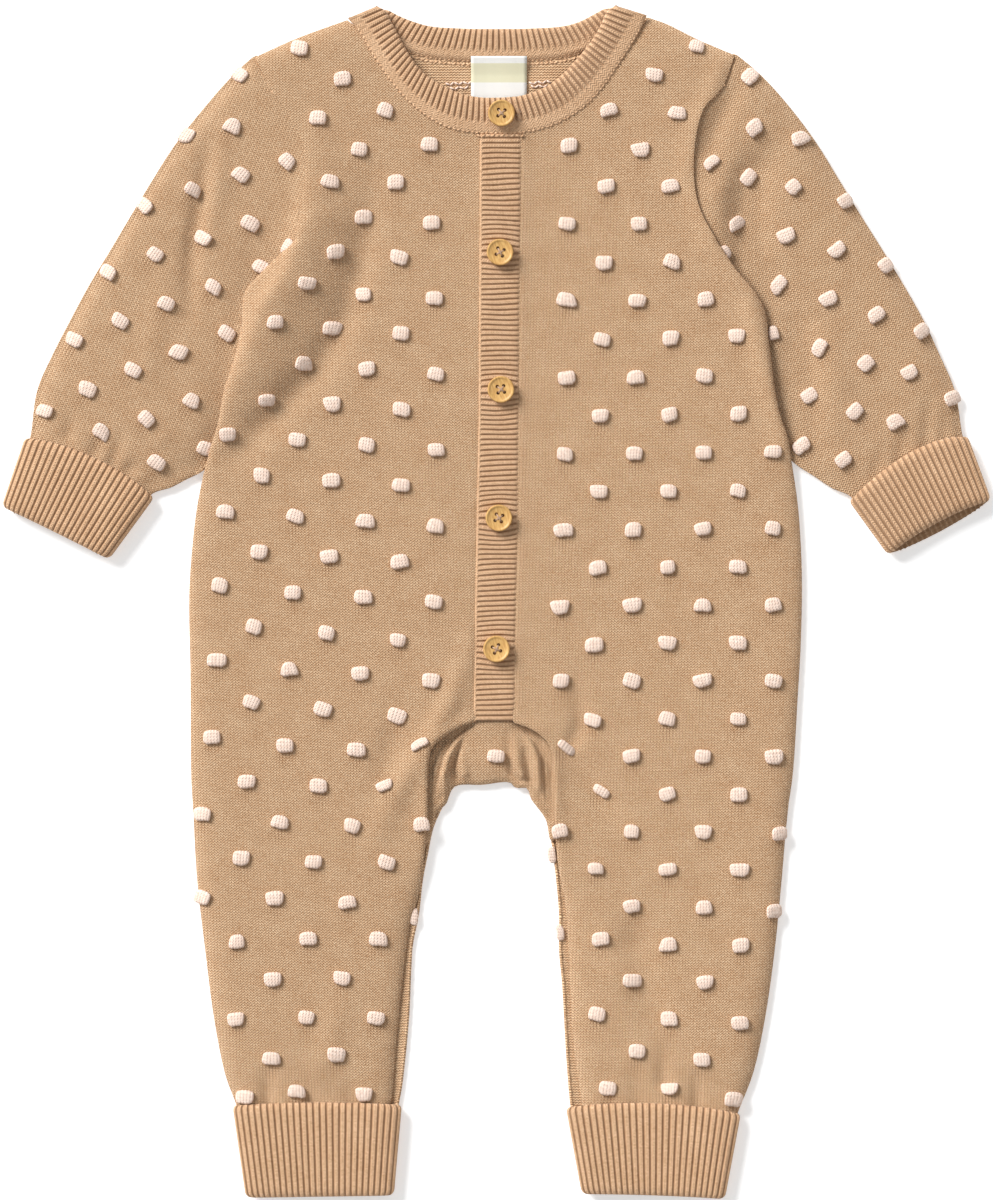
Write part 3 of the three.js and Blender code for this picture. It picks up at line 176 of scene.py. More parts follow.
# Folds: each is a line of points with its width and depth there; a depth below 0 is a ridge. A fifth
# column is the width on the left-hand side of the line.
FOLDS = [  # x y width depth, running on across the armholes
    [(-82, 206, 6, -1, 11), (-83, 172, 7, -4.6, 15), (-93, 147, 7, -6.2, 17), (-104.5, 131, 7, -6.6, 21),
     (-111, 110, 7, -6, 21), (-120, 82, 7, -1.5, 12)],
    [(-54, 192, 7, 0.6), (-60.5, 157, 7, 2.4), (-66.8, 130, 7, 2.6), (-79.4, 106, 7, 2.8), (-102, 81, 7, 2.6),
     (-118, 65, 7, 1)],
]
FRONT_FOLDS = [  # x y width depth
    [(-11, -14, 5, -0.4), (-20, -44, 5, -2.1), (-32, -66, 5, -2.3), (-46, -88, 6, -1.8),
     (-56, -112, 7, -0.5)],
    [(-30, -104, 4, -0.8), (-30.5, -76, 4, -1.6), (-24, -62, 4, -1.4), (-11, -55, 4, -1)],
    [(26, -104, 4, -0.8), (25.5, -76, 4, -1.9), (18, -60, 4, -1.7), (8, -55, 4, -1)],
    [(101, 238, 4, -0.8), (89, 212, 5, -1.6), (86, 190, 5, -1.6), (97, 160, 5, -2.3), (114, 137, 5, -2.3),
     (121, 100, 5, -2.1), (129, 72, 5, -1)],
    [(12.8, 206, 1.2, -0.3), (11.7, 81, 1.2, -0.3), (10, -50, 1.2, -0.3)],
    [(-9.9, 160, 1.2, -0.25), (-10.2, 81, 1.2, -0.25), (-12.2, -50, 1.2, -0.3)],
]
SLEEVE_FOLDS = [  # x y width depth
    [(113, 240, 5, 1), (99, 214, 5, 2.2), (96, 204, 5, 1.4)],
    [(126, 206, 8, 1), (116, 190, 9, 3.4), (113.5, 172, 9, 3.4), (115.5, 152, 9, 3),
     (128, 136, 8, 2.2), (136, 124, 8, 1)],
    [(106, 198, 5, -0.5), (99, 182, 6, -2.4), (101, 164, 6, -2.2), (109, 150, 5, -1)],
    [(136, 122, 8, 1.5), (137, 110, 9, 3), (138, 92, 9, 3), (142, 70, 8, 1.5)],
    [(150, 118, 8, -0.5), (152, 98, 8, -1.2), (152, 80, 7, -0.6)],
]
CREASES = [  # x y width depth; these fade toward a panel's edges
    [(35.5, -36, 4, 0.6), (38, -56, 4, 2), (32, -68, 4, 1.8), (46, -87, 5, 2.2), (57, -97, 5, 0.6)],
    [(-45, -50, 6, 0.6), (-48, -68, 6, 1.8), (-52, -86, 6, 0.6)],
    [(65, -142, 8, 0.8), (62, -156, 9, 2.4), (68, -178, 9, 2), (77, -200, 8, 0.6)],
    [(51, -156, 8, -0.5), (55, -168, 8, -1.5), (60, -180, 8, -0.5)],
    [(75, -202, 3, 0.6), (75, -217, 3, 2.2)], [(90, -215, 3, 0.8), (90, -228, 3, 2.6)],
    [(62, -214, 4, 0.6), (64, -231, 4, 2.4)], [(49, -217, 3, 0.4), (51, -231, 3, 1.7)],
    [(-103, -211, 3, 0.6), (-103, -228, 3, 2.8)], [(-85, -217, 3, 0.4), (-83, -230, 3, 1.9)],
    [(-66, -218, 3, 0.4), (-66, -230, 3, 1.9)], [(-97, -216, 3, -0.4), (-97, -230, 3, -1.3)],
    [(-68, -176, 6, -0.4), (-75, -198, 6, -1.3), (-81, -216, 5, -0.5)],
    [(-129, 207, 4, 0.6), (-133, 180, 4, 2.7), (-137, 158, 4, 2.9), (-138, 128, 4, 1)],
    [(-103, 172, 7, 0.4), (-109, 152, 7, 1.7), (-113, 136, 6, 0.5)],
    [(-123, 210, 5, -0.4), (-125, 188, 5, -1.4), (-128, 168, 5, -0.5)],
    [(-149, 146, 6, -0.4), (-154, 118, 6, -1.2), (-159, 96, 6, -0.3)],
    [(-166, 58, 3.5, 2.6), (-153, 68, 3.5, 0.8)], [(-173, 61, 3, 2.4), (-169, 74, 3, 0.6)],
    [(-181, 66, 3, 1.8), (-176, 78, 3, 0.5)], [(-193, 74, 3, 1.6), (-191, 84, 3, 0.5)],
    [(-160, 63, 3, -1.4), (-147, 75, 3, -0.4)], [(193, 66, 3.2, 2.4), (195, 90, 3.2, 0.6)],
    [(201, 72, 3, 2), (202, 86, 3, 0.5)], [(181, 62, 3.5, 2), (184, 76, 3.5, 0.5)],
    [(170, 56, 3, 1.7), (174, 68, 3, 0.4)],
]
DEEPEST = 3.0  # how far a fold can press the upper layer down
HEM_TUCK = 6.5  # how far a leg or sleeve goes on inside its cuff
TUCK = 0.9  # how far a panel goes on under the band that lies over its edge

# Bobbles stand on a slanting lattice; the columns are the factors of 1, i, j, i*j, j*j and j*j*j.
LATTICES = {  # one row for x and one for y
    "front_left": ((-27.94, 15.4, 0.484, 0.0563, -0.0736, 0.0011),
                   (135.93, -1.226, -17.03, 0.023, -0.0045, 0.0001)),
    "front_right": ((32.47, 15.38, -0.4955, 0.0536, 0.0148, 0),
                    (134.13, 0.361, -17.15, -0.0378, 0.0131, 0)),
    "sleeve_left": ((-148.33, 13.12, -7.84, 0.0516, 0.1391, 0),
                    (133.55, -7.12, -14.82, 0.1535, -0.0819, 0)),
    "sleeve_right": ((149.21, 12.93, 8.92, -0.177, -0.273, 0),
                     (135.58, 7.54, -14.31, -0.148, -0.07, 0)),
}
LATTICE_COLUMNS = {
    "front_left": (-7, 0), "front_right": (0, 7), "sleeve_left": (-4, 4), "sleeve_right": (-4, 4),
}
LATTICE_ROWS = (-8, 22)
PULLED = {  # (i, j): (dx, dy), how far the bobble lies off the lattice
    "front_left": {
        (-3, -7): (-8.3, -10.6), (-2, -6): (-5.4, -6.0), (-3, -5): (-2.6, -7.9), (-1, -5): (-2.5, -1.6),
        (-2, -4): (-0.2, -3.7), (0, -4): (1.0, 1.2), (-3, -3): (1.1, -2.5), (-3, -1): (2.3, 0.1),
        (-4, 0): (4.5, 1.4), (-4, 2): (2.7, 0), (-2, 0): (-1.1, -0.7), (-5, 1): (5.6, 0),
        (-5, 3): (1.7, -0.6), (-6, 8): (-1.1, 1.3), (-5, 9): (-0.8, 0.8), (-1, 9): (0.3, -1.2),
        (-6, 10): (-0.6, 2.0), (0, 10): (-0.1, -1.3), (-5, 11): (-0.1, 1.3), (-1, 11): (1.3, -1.1),
        (-6, 12): (-0.7, 1.8), (0, 12): (-3.8, 4.6), (-1, 13): (-2.6, 1.8), (-6, 14): (-2.6, 1.8),
        (0, 14): (-1.2, 2.7), (-1, 15): (0.3, 1.4), (-6, 16): (0, -1.3), (-5, 17): (0.6, -3.0),
        (-1, 17): (-1.2, 1.5), (-4, 18): (1.7, -2.1), (-5, 19): (2.9, -3.7), (-3, 19): (1.7, -1.2),
        (-4, 20): (3.8, -3.3), (-5, 21): (9.8, -4.2), (-1, 21): (-3, -0.1),
    },
    "front_right": {
        (2, -6): (4.8, -2.4), (3, -5): (0.6, -2.7), (0, -4): (-2.1, 1.8), (2, -4): (-0.2, -1.5),
        (3, -3): (-1.7, -0.6), (0, -2): (-1.8, 0.9), (0, 0): (-1, 1.1), (5, 1): (-1.2, 0.4),
        (0, 8): (-0.9, -0.9), (1, 9): (-1.2, -0.7), (1, 11): (-1.6, -0.8), (0, 12): (2.8, 3.6),
        (1, 13): (2.6, 1), (6, 14): (2.1, -0.4), (6, 16): (-0.9, -1.3), (1, 17): (2.2, 1.8),
        (1, 19): (0.4, 1.5), (5, 19): (-1, -1.1), (2, 20): (1.8, 1.9), (4, 20): (-2, -1.3),
        (1, 21): (4.9, 1.3), (3, 21): (-0.3, 1.9), (5, 21): (-4.5, -1.9),
    },
    "sleeve_left": {
        (-2, -6): (6.3, 1.1), (1, -5): (-1.3, -0.2), (-2, -4): (0.8, 2.3), (2, -2): (0.3, 2.1),
        (2, 0): (0.8, 0.8), (-2, 4): (0.9, -0.7), (0, 4): (-0.1, 3.1), (2, 4): (-2, 2.2),
    },
    "sleeve_right": {
        (0, -4): (4.3, -1.3), (-1, -3): (1.4, -0.2), (1, -5): (4.3, -1), (-3, 3): (0.9, -1),
        (1, 3): (-0.3, 3.3), (0, 4): (-1.4, 3.3),
    },
}
SKIPPED = {  # places on the lattice that stay free
    "front_left": [(-4, -6), (-4, -2), (-6, 2), (-7, 7), (-7, 9), (0, 16)],
    "front_right": [(3, -7), (4, -6), (4, -2), (6, 2)],
    "sleeve_left": [(0, -6), (2, -4)],
    "sleeve_right": [(-2, 0), (-1, 5), (1, 5)],
}
SHAPED = {  # (i, j): (turn, width, length), shares of the usual size
    "front_left": {(0, 12): (0.52, 1.1, 0.62), (-1, 13): (0.45, 1, 0.7), (0, 14): (0.1, 0.95, 1.1)},
    "front_right": {(0, 12): (-0.6, 1.12, 0.62), (1, 13): (-0.45, 1, 0.7), (0, 14): (0.1, 1, 1.1)},
    "sleeve_left": {},
    "sleeve_right": {},
}
EXTRA = {  # x y turn width length
    "front_left": [],
    "front_right": [(90, 249.3, -0.25, 0.85, 0.9)],
    "sleeve_left": [(-93.8, 159.0, 1.15, 0.95, 0.75)],
    "sleeve_right": [(96.5, 197.1, 0.35, 0.95, 0.85), (103.6, 157.2, -0.85, 0.8, 0.55),
                     (124.6, 120.6, 0.3, 0.62, 0.95)],
}


# Plane curves
def smooth(table, step):
    """Evenly spaced points on a smooth curve through the rows of a table."""
    p = np.array([list(row) + [0.0] * (3 - len(row)) for row in table], float)
    q = np.vstack([2 * p[0] - p[1], p, 2 * p[-1] - p[-2]])
    fine = []
    for a, b, c, d in zip(q, q[1:], q[2:], q[3:]):
        before, along, after = (max(np.linalg.norm(e), 1e-4) ** 0.5 for e in (b - a, c - b, d - c))
        start = ((b - a) / before - (c - a) / (before + along) + (c - b) / along) * along
        end = ((c - b) / along - (d - b) / (along + after) + (d - c) / after) * along
        t = np.linspace(0, 1, 16, endpoint=False)[:, None]
        square, cube = 3 * (c - b) - 2 * start - end, 2 * (b - c) + start + end
        fine.append(b + start * t + square * t**2 + cube * t**3)
    return evenly(np.vstack([*fine, p[-1:]]), step=step)


def evenly(line, step=None, count=None):
    """The line again, with points at one spacing."""
    run = np.concatenate([[0], np.cumsum(np.linalg.norm(np.diff(line[:, :2], axis=0), axis=1))])
    count = count or max(1, round(run[-1] / step))
    at = np.linspace(0, run[-1], count + 1)
    return np.stack([np.interp(at, run, column) for column in line.T], 1)


def signed_area(loop):
    x, y = loop[:, 0], loop[:, 1]
    return float((x * np.roll(y, -1) - np.roll(x, -1) * y).sum() / 2)


def inside(loop, p):
    """Which of the points p lie inside the loop."""
    a, b = loop[:, :2], np.roll(loop[:, :2], -1, 0)
    found = np.zeros(len(p), bool)
    for (ax, ay), (bx, by) in zip(a, b):
        if ay != by:
            spans = (ay > p[:, 1]) != (by > p[:, 1])
            found ^= spans & (p[:, 0] < ax + (p[:, 1] - ay) * (bx - ax) / (by - ay))
    return found


def away_from(p, line):
    """Distance from each of the points p to a finely sampled line."""
    found = np.empty(len(p))
    for k in range(0, len(p), CHUNK):
        part = p[k : k + CHUNK, None, :2] - line[None, :, :2]
        found[k : k + CHUNK] = np.sqrt((part**2).sum(2).min(1))
    return found


def creased(p, folds):
    """How far the folds press the cloth down at each of the points."""
    total = np.zeros(len(p))
    for fold in folds:
        pressed = np.zeros(len(p))
        rows = np.array([row if len(row) == 5 else (*row, row[2]) for row in fold], float)
        for a, b in zip(rows, rows[1:]):
            step = b[:2] - a[:2]
            t = np.clip((p - a[:2]) @ step / (step @ step), 0, 1)
            away = np.linalg.norm(p - a[:2] - t[:, None] * step, axis=1)
            depth = a[3] + (b[3] - a[3]) * t
            leftward = step[0] * (p[:, 1] - a[1]) - step[1] * (p[:, 0] - a[0]) > 0
            width = np.where(leftward, a[4] + (b[4] - a[4]) * t, a[2] + (b[2] - a[2]) * t)
            here = depth * np.exp(-((away / width) ** 2))
            pressed = np.where(np.abs(here) > np.abs(pressed), here, pressed)
        total += pressed
    return total


def rounding(t):
    """Quarter circle: 0 at the edge, 1 from t = 1 on."""
    return np.sqrt(1 - (1 - np.clip(t, 0, 1)) ** 2)


class Edge:
    """One edge of a panel: its line, how soon the cloth lifts off it, and the rounding of its rim."""

    def __init__(self, table, fall, radius, drop):
        self.line = smooth(table, EDGE_STEP)
        self.fine = evenly(self.line, step=0.6)
        self.fall, self.radius, self.drop = fall, radius, drop


class Panel:
    """A flat cut of cloth with a height over each of its points."""

    def __init__(self, edges, inner, rise=CLOTH, folds=()):
        self.edges, self.inner, self.rise, self.folds = edges, inner, rise, folds
        loop = np.vstack([np.column_stack([e.line[:-1], np.full(len(e.line) - 1, e.fall)]) for e in edges])
        self.loop = loop if signed_area(loop) > 0 else loop[::-1]
        self.fine = np.vstack([e.fine for e in edges])

    def base(self, p):
        """Starts from the loop's own height at its edge and settles at the inner height."""
        a, b = self.loop, np.roll(self.loop, -1, 0)
        middle = (a + b) / 2
        reach = np.linalg.norm((b - a)[:, :2], axis=1) * a[:, 3] * b[:, 3] * 0.5
        found = np.empty(len(p))
        for k in range(0, len(p), CHUNK):
            part = p[k : k + CHUNK]
            d = np.sqrt(((part[:, None, :2] - middle[None, :, :2]) ** 2).sum(2))
            share = reach / np.maximum(d, 1) ** 3
            found[k : k + CHUNK] = (self.inner(part) + share @ middle[:, 2]) / (1 + share.sum(1))
        return found

    def rim(self, p):
        """How much the rounded rims lower the surface."""
        lowered = np.zeros(len(p))
        for e in self.edges:
            if e.drop:
                lowered = np.maximum(lowered, e.drop * (1 - rounding(away_from(p, e.fine) / e.radius)))
        return lowered

    def top(self, p):
        pressed = np.minimum(creased(p[:, :2], self.folds), DEEPEST)
        return self.base(p) + self.rise - self.rim(p) - pressed

    def net(self, grain=GRAIN, rows=EDGE_ROWS):
        """Points and triangles over the cut. The loop's own points come first."""
        loop = self.loop[:, :2]
        tangent = np.roll(loop, -1, 0) - np.roll(loop, 1, 0)
        inward = np.stack([-tangent[:, 1], tangent[:, 0]], 1) / np.linalg.norm(tangent, axis=1)[:, None]
        kept = [loop]
        for amount in rows:
            row = loop + inward * amount
            kept.append(row[(away_from(row, self.fine) > 0.93 * amount) & inside(loop, row)])
        low, high = loop.min(0), loop.max(0)
        xs = np.arange(low[0], high[0] + grain, grain)
        ys = np.arange(low[1], high[1] + grain, grain * 0.866)
        gx, gy = np.meshgrid(xs, ys)
        gx = gx + (np.arange(len(ys)) % 2)[:, None] * grain / 2
        grid = np.stack([gx.ravel(), gy.ravel()], 1)
        grid = grid[inside(loop, grid)]
        grid = grid[away_from(grid, self.fine) > rows[-1] + grain * 0.55]
        points = np.vstack([*kept, grid])
        n = len(loop)
        ring = [(k, (k + 1) % n) for k in range(n)]
        made = delaunay_2d_cdt([Vector(p) for p in points], ring, [list(range(n))], 1, 1e-5)
        net_points = np.array([tuple(v) for v in made[0]])
        return net_points, np.array(made[2], int)


# Meshes
def finish_mesh(name, mesh, material, node=None):
    """Makes a smooth piece of the mesh, hangs it under the root body, and hides the model's part that it
    replaces.
    """
    for m in material if isinstance(material, list) else [material]:
        mesh.materials.append(m)
    mesh.polygons.foreach_set("use_smooth", np.ones(len(mesh.polygons), bool))
    mesh.update()
    piece = bpy.data.objects.new(name, mesh)
    bpy.context.scene.collection.objects.link(piece)
    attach(piece, "root")
    if node:
        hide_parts(node)
    return piece


def give_uv(mesh, uv):
    """Writes one UV for each point of the mesh."""
    layer = mesh.uv_layers.new(name="yarn")
    corner = np.empty(len(mesh.loops), int)
    mesh.loops.foreach_get("vertex_index", corner)
    layer.data.foreach_set("uv", np.asarray(uv, np.float32)[corner].ravel())


def give_value(mesh, name, values):
    layer = mesh.attributes.new(name, "FLOAT", "POINT")
    layer.data.foreach_set("value", np.asarray(values, np.float32))


def cloth_mesh(name, points, faces, uv, values=None):
    mesh = bpy.data.meshes.new(name)
    mesh.from_pydata((points * MM).tolist(), [], faces.tolist())
    give_uv(mesh, uv)
    for key, column in (values or {}).items():
        give_value(mesh, key, column)
    return mesh


def thicken(piece, thickness, material_step=0):
    """Gives the piece a wall below its surface; its inside takes the material that many steps on."""
    wall = piece.modifiers.new("wall", "SOLIDIFY")
    wall.thickness = thickness * MM
    wall.offset = -1
    wall.use_even_offset = False
    wall.material_offset = material_step
    return piece


def grid_piece(name, points, uv, material, node, wrap=False, values=None, turn=False):
    """A piece over a grid of points[row, column], closed round its columns where wrap is true."""
    rows, columns = points.shape[:2]
    bm = bmesh.new()
    bmesh.ops.create_grid(bm, x_segments=columns - 1, y_segments=rows - 1, size=1)
    where = np.array([v.co[:2] for v in bm.verts])
    column = np.rint((where[:, 0] + 1) / 2 * (columns - 1)).astype(int)
    row = np.rint((where[:, 1] + 1) / 2 * (rows - 1)).astype(int)
    mesh = bpy.data.meshes.new(name)
    bm.to_mesh(mesh)
    bm.free()
    mesh.vertices.foreach_set("co", (points[row, column] * MM).ravel())
    give_uv(mesh, uv[row, column])
    for key, table in (values or {}).items():
        give_value(mesh, key, table[row, column])
    bm = bmesh.new()
    bm.from_mesh(mesh)
    if wrap:
        bmesh.ops.remove_doubles(bm, verts=bm.verts[:], dist=1e-6)
        bmesh.ops.recalc_face_normals(bm, faces=bm.faces[:])
    if turn:
        bmesh.ops.reverse_faces(bm, faces=bm.faces[:])
    bm.to_mesh(mesh)
    bm.free()
    return finish_mesh(name, mesh, material, node)


# Materials
class Wire:
    """A socket of a material's tree; arithmetic on it adds Math nodes."""

    def __init__(self, look, socket):
        self.look, self.socket = look, socket

    def math(self, operation, *others):
        return self.look.node("Math", {"operation": operation}, [self, *others])

    def __add__(self, other):
        return self.math("ADD", other)

    def __sub__(self, other):
        return self.math("SUBTRACT", other)

    def __mul__(self, other):
        return self.math("MULTIPLY", other)

    def __truediv__(self, other):
        return self.math("DIVIDE", other)

    def __pow__(self, other):
        return self.math("POWER", other)

    def __rsub__(self, other):
        return self.look.node("Math", {"operation": "SUBTRACT"}, [other, self])

    __radd__ = __add__
    __rmul__ = __mul__

    def wave(self):
        """0 to 1 and back over each whole number, with 1 at the whole numbers."""
        return (self * (2 * math.pi)).math("COSINE") * 0.5 + 0.5

    def between(self, low, high):
        """0 below low, 1 above high."""
        return self.look.node("MapRange", {"clamp": True}, [self, low, high, 0.0, 1.0])


class Look:
    """A material: its tree, and one method that adds any node."""

    def __init__(self, name, roughness=0.92, sheen=0.0):
        self.material = bpy.data.materials.new(name)
        self.material.use_nodes = True
        self.tree = self.material.node_tree
        self.shader = next(n for n in self.tree.nodes if n.type == "BSDF_PRINCIPLED")
        self.shader.inputs["Roughness"].default_value = roughness
        self.shader.inputs["Specular IOR Level"].default_value = 0.25
        self.shader.inputs["Sheen Weight"].default_value = sheen
        self.shader.inputs["Sheen Roughness"].default_value = 0.5

    def node(self, kind, settings, values, output=0):
        made = self.tree.nodes.new("ShaderNode" + kind)
        for key, value in settings.items():
            setattr(made, key, value)
        for key, value in values.items() if isinstance(values, dict) else enumerate(values):
            if isinstance(value, Wire):
                self.tree.links.new(value.socket, made.inputs[key])
            else:
                made.inputs[key].default_value = value
        return Wire(self, made.outputs[output])

    def yarn_uv(self):
        """Distance across and along the stitches, in millimetres."""
        uv = self.node("UVMap", {"uv_map": "yarn"}, [])
        return self.node("SeparateXYZ", {}, [uv]), self.node("SeparateXYZ", {}, [uv], 1)

    def value(self, name):
        return self.node("Attribute", {"attribute_name": name}, [], 2)

    def speckle(self, x, y, detail=2.0, seed=0.0):
        at = self.node("CombineXYZ", {}, [x, y, seed])
        return self.node("TexNoise", {}, {"Vector": at, "Scale": 1.0, "Detail": detail})

    def blend(self, share, first, second):
        """Mixes two colours."""
        values = {0: share, 6: first, 7: second}
        return self.node("Mix", {"data_type": "RGBA"}, values, 2)

    def shade(self, colour, factor):
        """A colour times a number."""
        return self.node("VectorMath", {"operation": "SCALE"}, {0: colour, 3: factor})

    def put(self, colour, height, depth):
        """Gives the shader its colour, and a relief of that depth in metres."""
        bump = self.node("Bump", {}, {"Height": height, "Distance": depth, "Strength": 1.0})
        self.tree.links.new(colour.socket, self.shader.inputs["Base Color"])
        self.tree.links.new(bump.socket, self.shader.inputs["Normal"])
        return self.material


def linear(red, green, blue):
    """A colour as a screen shows it, in the shader's own numbers."""
    return (*[((c / 255 + 0.055) / 1.055) ** 2.4 for c in (red, green, blue)], 1.0)


# The last colour in each of these three rows is painted shade, for stitch grooves and holes.
YARN_DARK, YARN_LIGHT, YARN_SHADE = linear(206, 159, 116), linear(255, 221, 181), linear(124, 80, 45)
RIB_DARK, RIB_LIGHT, RIB_SHADE = linear(192, 150, 112), linear(238, 199, 161), linear(124, 84, 52)
PINK_DARK, PINK_LIGHT, PINK_HOLE_SHADE = linear(231, 201, 182), linear(248, 226, 211), linear(176, 130, 96)
KNIT_RELIEF, BOBBLE_RELIEF, THREAD_RELIEF, WOOD_RELIEF = 0.0005, 0.0003, 0.0001, 0.00008
THREAD_TURN = 0.5  # distance between the threads of the label
BOBBLE_ROWS = 5.0  # rows of stitches over a bobble


def stitch_height(u, v, slant, channel):
    """Columns of V-shaped stitches: two slanting legs in each column, and a groove between columns."""
    side = ((u / WALE).math("FRACT") - 0.5).math("ABSOLUTE") * 2
    leg = (v / COURSE - side * slant).wave()
    return (1 - (side**3.0) * channel) * (leg * 0.86 + 0.14)


def melange(look, u, v, dark, light, seed):
    """Mixed yarn: short lighter and darker dashes along each row, over a slow change."""
    dashes = look.speckle(u * 0.42, v * 1.1, seed=seed)
    patches = look.speckle(u * 0.08, v * 0.12, seed=seed + 5)
    fine = look.speckle(u * 1.1, v * 1.3, detail=1.0, seed=seed + 9)
    share = (dashes * 0.66 + patches * 0.36 + fine * 0.8).between(0.56, 1.26)
    return look.blend(share, dark, light)


def knit_look(name, seed, slant=0.8, channel=0.74):
    look = Look(name, sheen=0.1)
    u, v = look.yarn_uv()
    wobble = look.speckle(u * 0.11, v * 0.35, seed=seed + 2) * 0.8 - 0.4
    height = stitch_height(u + wobble, v + wobble * 0.5, slant, channel)
    pulled = look.value("pulled")
    column = ((u + wobble) / WALE).wave()
    height = height - column * pulled * 0.4
    colour = melange(look, u, v, YARN_DARK, YARN_LIGHT, seed)
    # Painted shade: the colour darkens toward the dark shade colour in the stitch grooves, and in the
    # deepened columns beside the bobbles.
    colour = look.blend(height.between(0.02, 0.6) * 0.85 + 0.15, YARN_SHADE, colour)
    return look.put(colour, height, KNIT_RELIEF)


def bobble_look(name, dark, light, hole_shade):
    """The yarn map's first number counts columns of stitches, the second runs from -1 to 1 along them."""
    look = Look(name, sheen=0.12)
    u, v = look.yarn_uv()
    edge = u.wave()
    legs = ((u.math("FRACT") - 0.5).math("ABSOLUTE") * 1.5 - v * (BOBBLE_ROWS / 2)).wave()
    height = (1 - (edge**2.0) * 0.7) * (legs * 0.6 + 0.4)
    tone = look.speckle(u * 0.7, v * 3.0, seed=3.0).between(0.3, 0.7)
    colour = look.blend(tone, dark, light)
    # Painted shade: small dark holes along a puff's lower edge.
    holes = (edge**3.0) * (1 - v.between(-0.86, -0.5)) * 0.4
    colour = look.blend(holes, colour, hole_shade)
    foot = look.value("foot")
    # Painted shade: darker in the stitch grooves and toward the puff's foot.
    colour = look.shade(colour, (height.between(0.0, 0.6) * 0.18 + 0.84) * (1 - foot * 0.05))
    return look.put(colour, height, BOBBLE_RELIEF)


def rib_look(name, seed):
    """Ribbing: the yarn map's first number counts ribs, the second is the distance along them."""
    look = Look(name, sheen=0.1)
    u, v = look.yarn_uv()
    valley = (u.wave() ** 2.8) * look.value("deep")
    legs = ((u.math("FRACT") - 0.5).math("ABSOLUTE") * 2.4 - v / COURSE).wave()
    middle = (u + 0.5).wave() ** 6.0
    height = (1 - valley) * (legs * 0.35 + 0.65) - middle * 0.25
    colour = melange(look, u * 2.6, v, RIB_DARK, RIB_LIGHT, seed)
    # Painted shade: the colour darkens in the rib grooves, as far as the deep value allows, and between the
    # stitch legs.
    share = (1 - valley * 0.6) * (legs * 0.22 + 0.78)
    return look.put(look.blend(share, RIB_SHADE, colour), height, KNIT_RELIEF)


def wood_look():
    look = Look("honey_wood", roughness=0.46)
    look.shader.inputs["Specular IOR Level"].default_value = 0.4
    at = look.node("TexCoord", {}, [], "Object")
    x = look.node("SeparateXYZ", {}, [at])
    y = look.node("SeparateXYZ", {}, [at], 1)
    grain = look.speckle(x * 1500.0 + y * 500.0, y * 260.0 - x * 90.0, detail=4.0)
    pores = look.speckle(x * 3600.0, y * 900.0, detail=1.0, seed=4.0).between(0.62, 0.72)
    colour = look.blend(grain.between(0.35, 0.65), linear(192, 144, 82), linear(222, 180, 112))
    colour = look.blend(pores * 0.4, colour, linear(150, 100, 48))
    return look.put(colour, grain, WOOD_RELIEF)


def tape_look():
    look = Look("woven_tape", roughness=0.8, sheen=0.1)
    u, v = look.yarn_uv()
    height = (u / THREAD_TURN).wave() * (v / THREAD_TURN).wave()
    band = (v.between(3.0, 3.3) - v.between(11.6, 11.9)).math("ABSOLUTE")
    colour = look.blend(band, linear(240, 239, 235), linear(226, 222, 192))
    # Painted shade: the tape darkens slightly between its raised threads.
    return look.put(look.shade(colour, height * 0.05 + 0.95), height, WOOD_RELIEF)


def thread_look():
    look = Look("sewing_thread", roughness=0.75, sheen=0.1)
    at = look.node("TexCoord", {}, [], "Object")
    tone = look.node("TexNoise", {}, {"Vector": at, "Scale": 900.0})
    return look.put(look.blend(tone, linear(170, 136, 108), linear(206, 174, 148)), tone, THREAD_RELIEF)


KNIT = knit_look("tan_knit", 0.0)
KNIT_INSIDE = knit_look("tan_knit_inside", 7.0, slant=0.45, channel=0.35)
BOBBLE_YARN = bobble_look("pale_bobble_yarn", PINK_DARK, PINK_LIGHT, PINK_HOLE_SHADE)
SEAM_YARN = bobble_look("tan_seam_yarn", RIB_DARK, RIB_LIGHT, YARN_SHADE)
RIBBING = rib_look("tan_ribbing", 2.0)
WOOD = wood_look()
TAPE = tape_look()
THREAD = thread_look()


# Bobbles
CUSHION = 3.5  # how square a puff is: 2 makes a ball, more makes a cushion


def lattice_point(name, i, j):
    terms = (1, i, j, i * j, j * j, j**3)
    x, y = (sum(f * t for f, t in zip(row, terms)) for row in LATTICES[name])
    dx, dy = PULLED[name].get((i, j), (0, 0))
    return x + dx, y + dy


def bobble_places(name):
    """Middle, turn and size of each bobble on the lattice."""
    found = []
    (_, xi, _, xij, _, _), (_, yi, _, yij, _, _) = LATTICES[name]
    for j in range(LATTICE_ROWS[0], LATTICE_ROWS[1] + 1):
        for i in range(LATTICE_COLUMNS[name][0], LATTICE_COLUMNS[name][1] + 1):
            if (i + j) % 2 == 0 and (i, j) not in SKIPPED[name]:
                turn, width, length = SHAPED[name].get((i, j), (0, 1, 1))
                turn += math.atan2(yi + yij * j, xi + xij * j)
                found.append((*lattice_point(name, i, j), turn, width, length))
    return np.array(found)


def puff_form(cuts):
    """One puff, rounded like a small cushion and tucked in at its foot, inside a box from -1 to 1."""
    bm = bmesh.new()
    bmesh.ops.create_cube(bm, size=2)
    bmesh.ops.subdivide_edges(bm, edges=bm.edges[:], cuts=cuts, use_grid_fill=True)
    hidden = [f for f in bm.faces if f.calc_center_median().z < -0.99]
    bmesh.ops.delete(bm, geom=hidden, context="FACES")
    points = np.array([v.co[:] for v in bm.verts])
    faces = np.array([[v.index for v in f.verts] for f in bm.faces])
    bm.free()
    points = points / ((np.abs(points) ** CUSHION).sum(1) ** (1 / CUSHION))[:, None]
    tuck = 1 - 0.2 * np.clip(-points[:, 2], 0, 1)
    points[:, :2] *= tuck[:, None]
    return points, faces


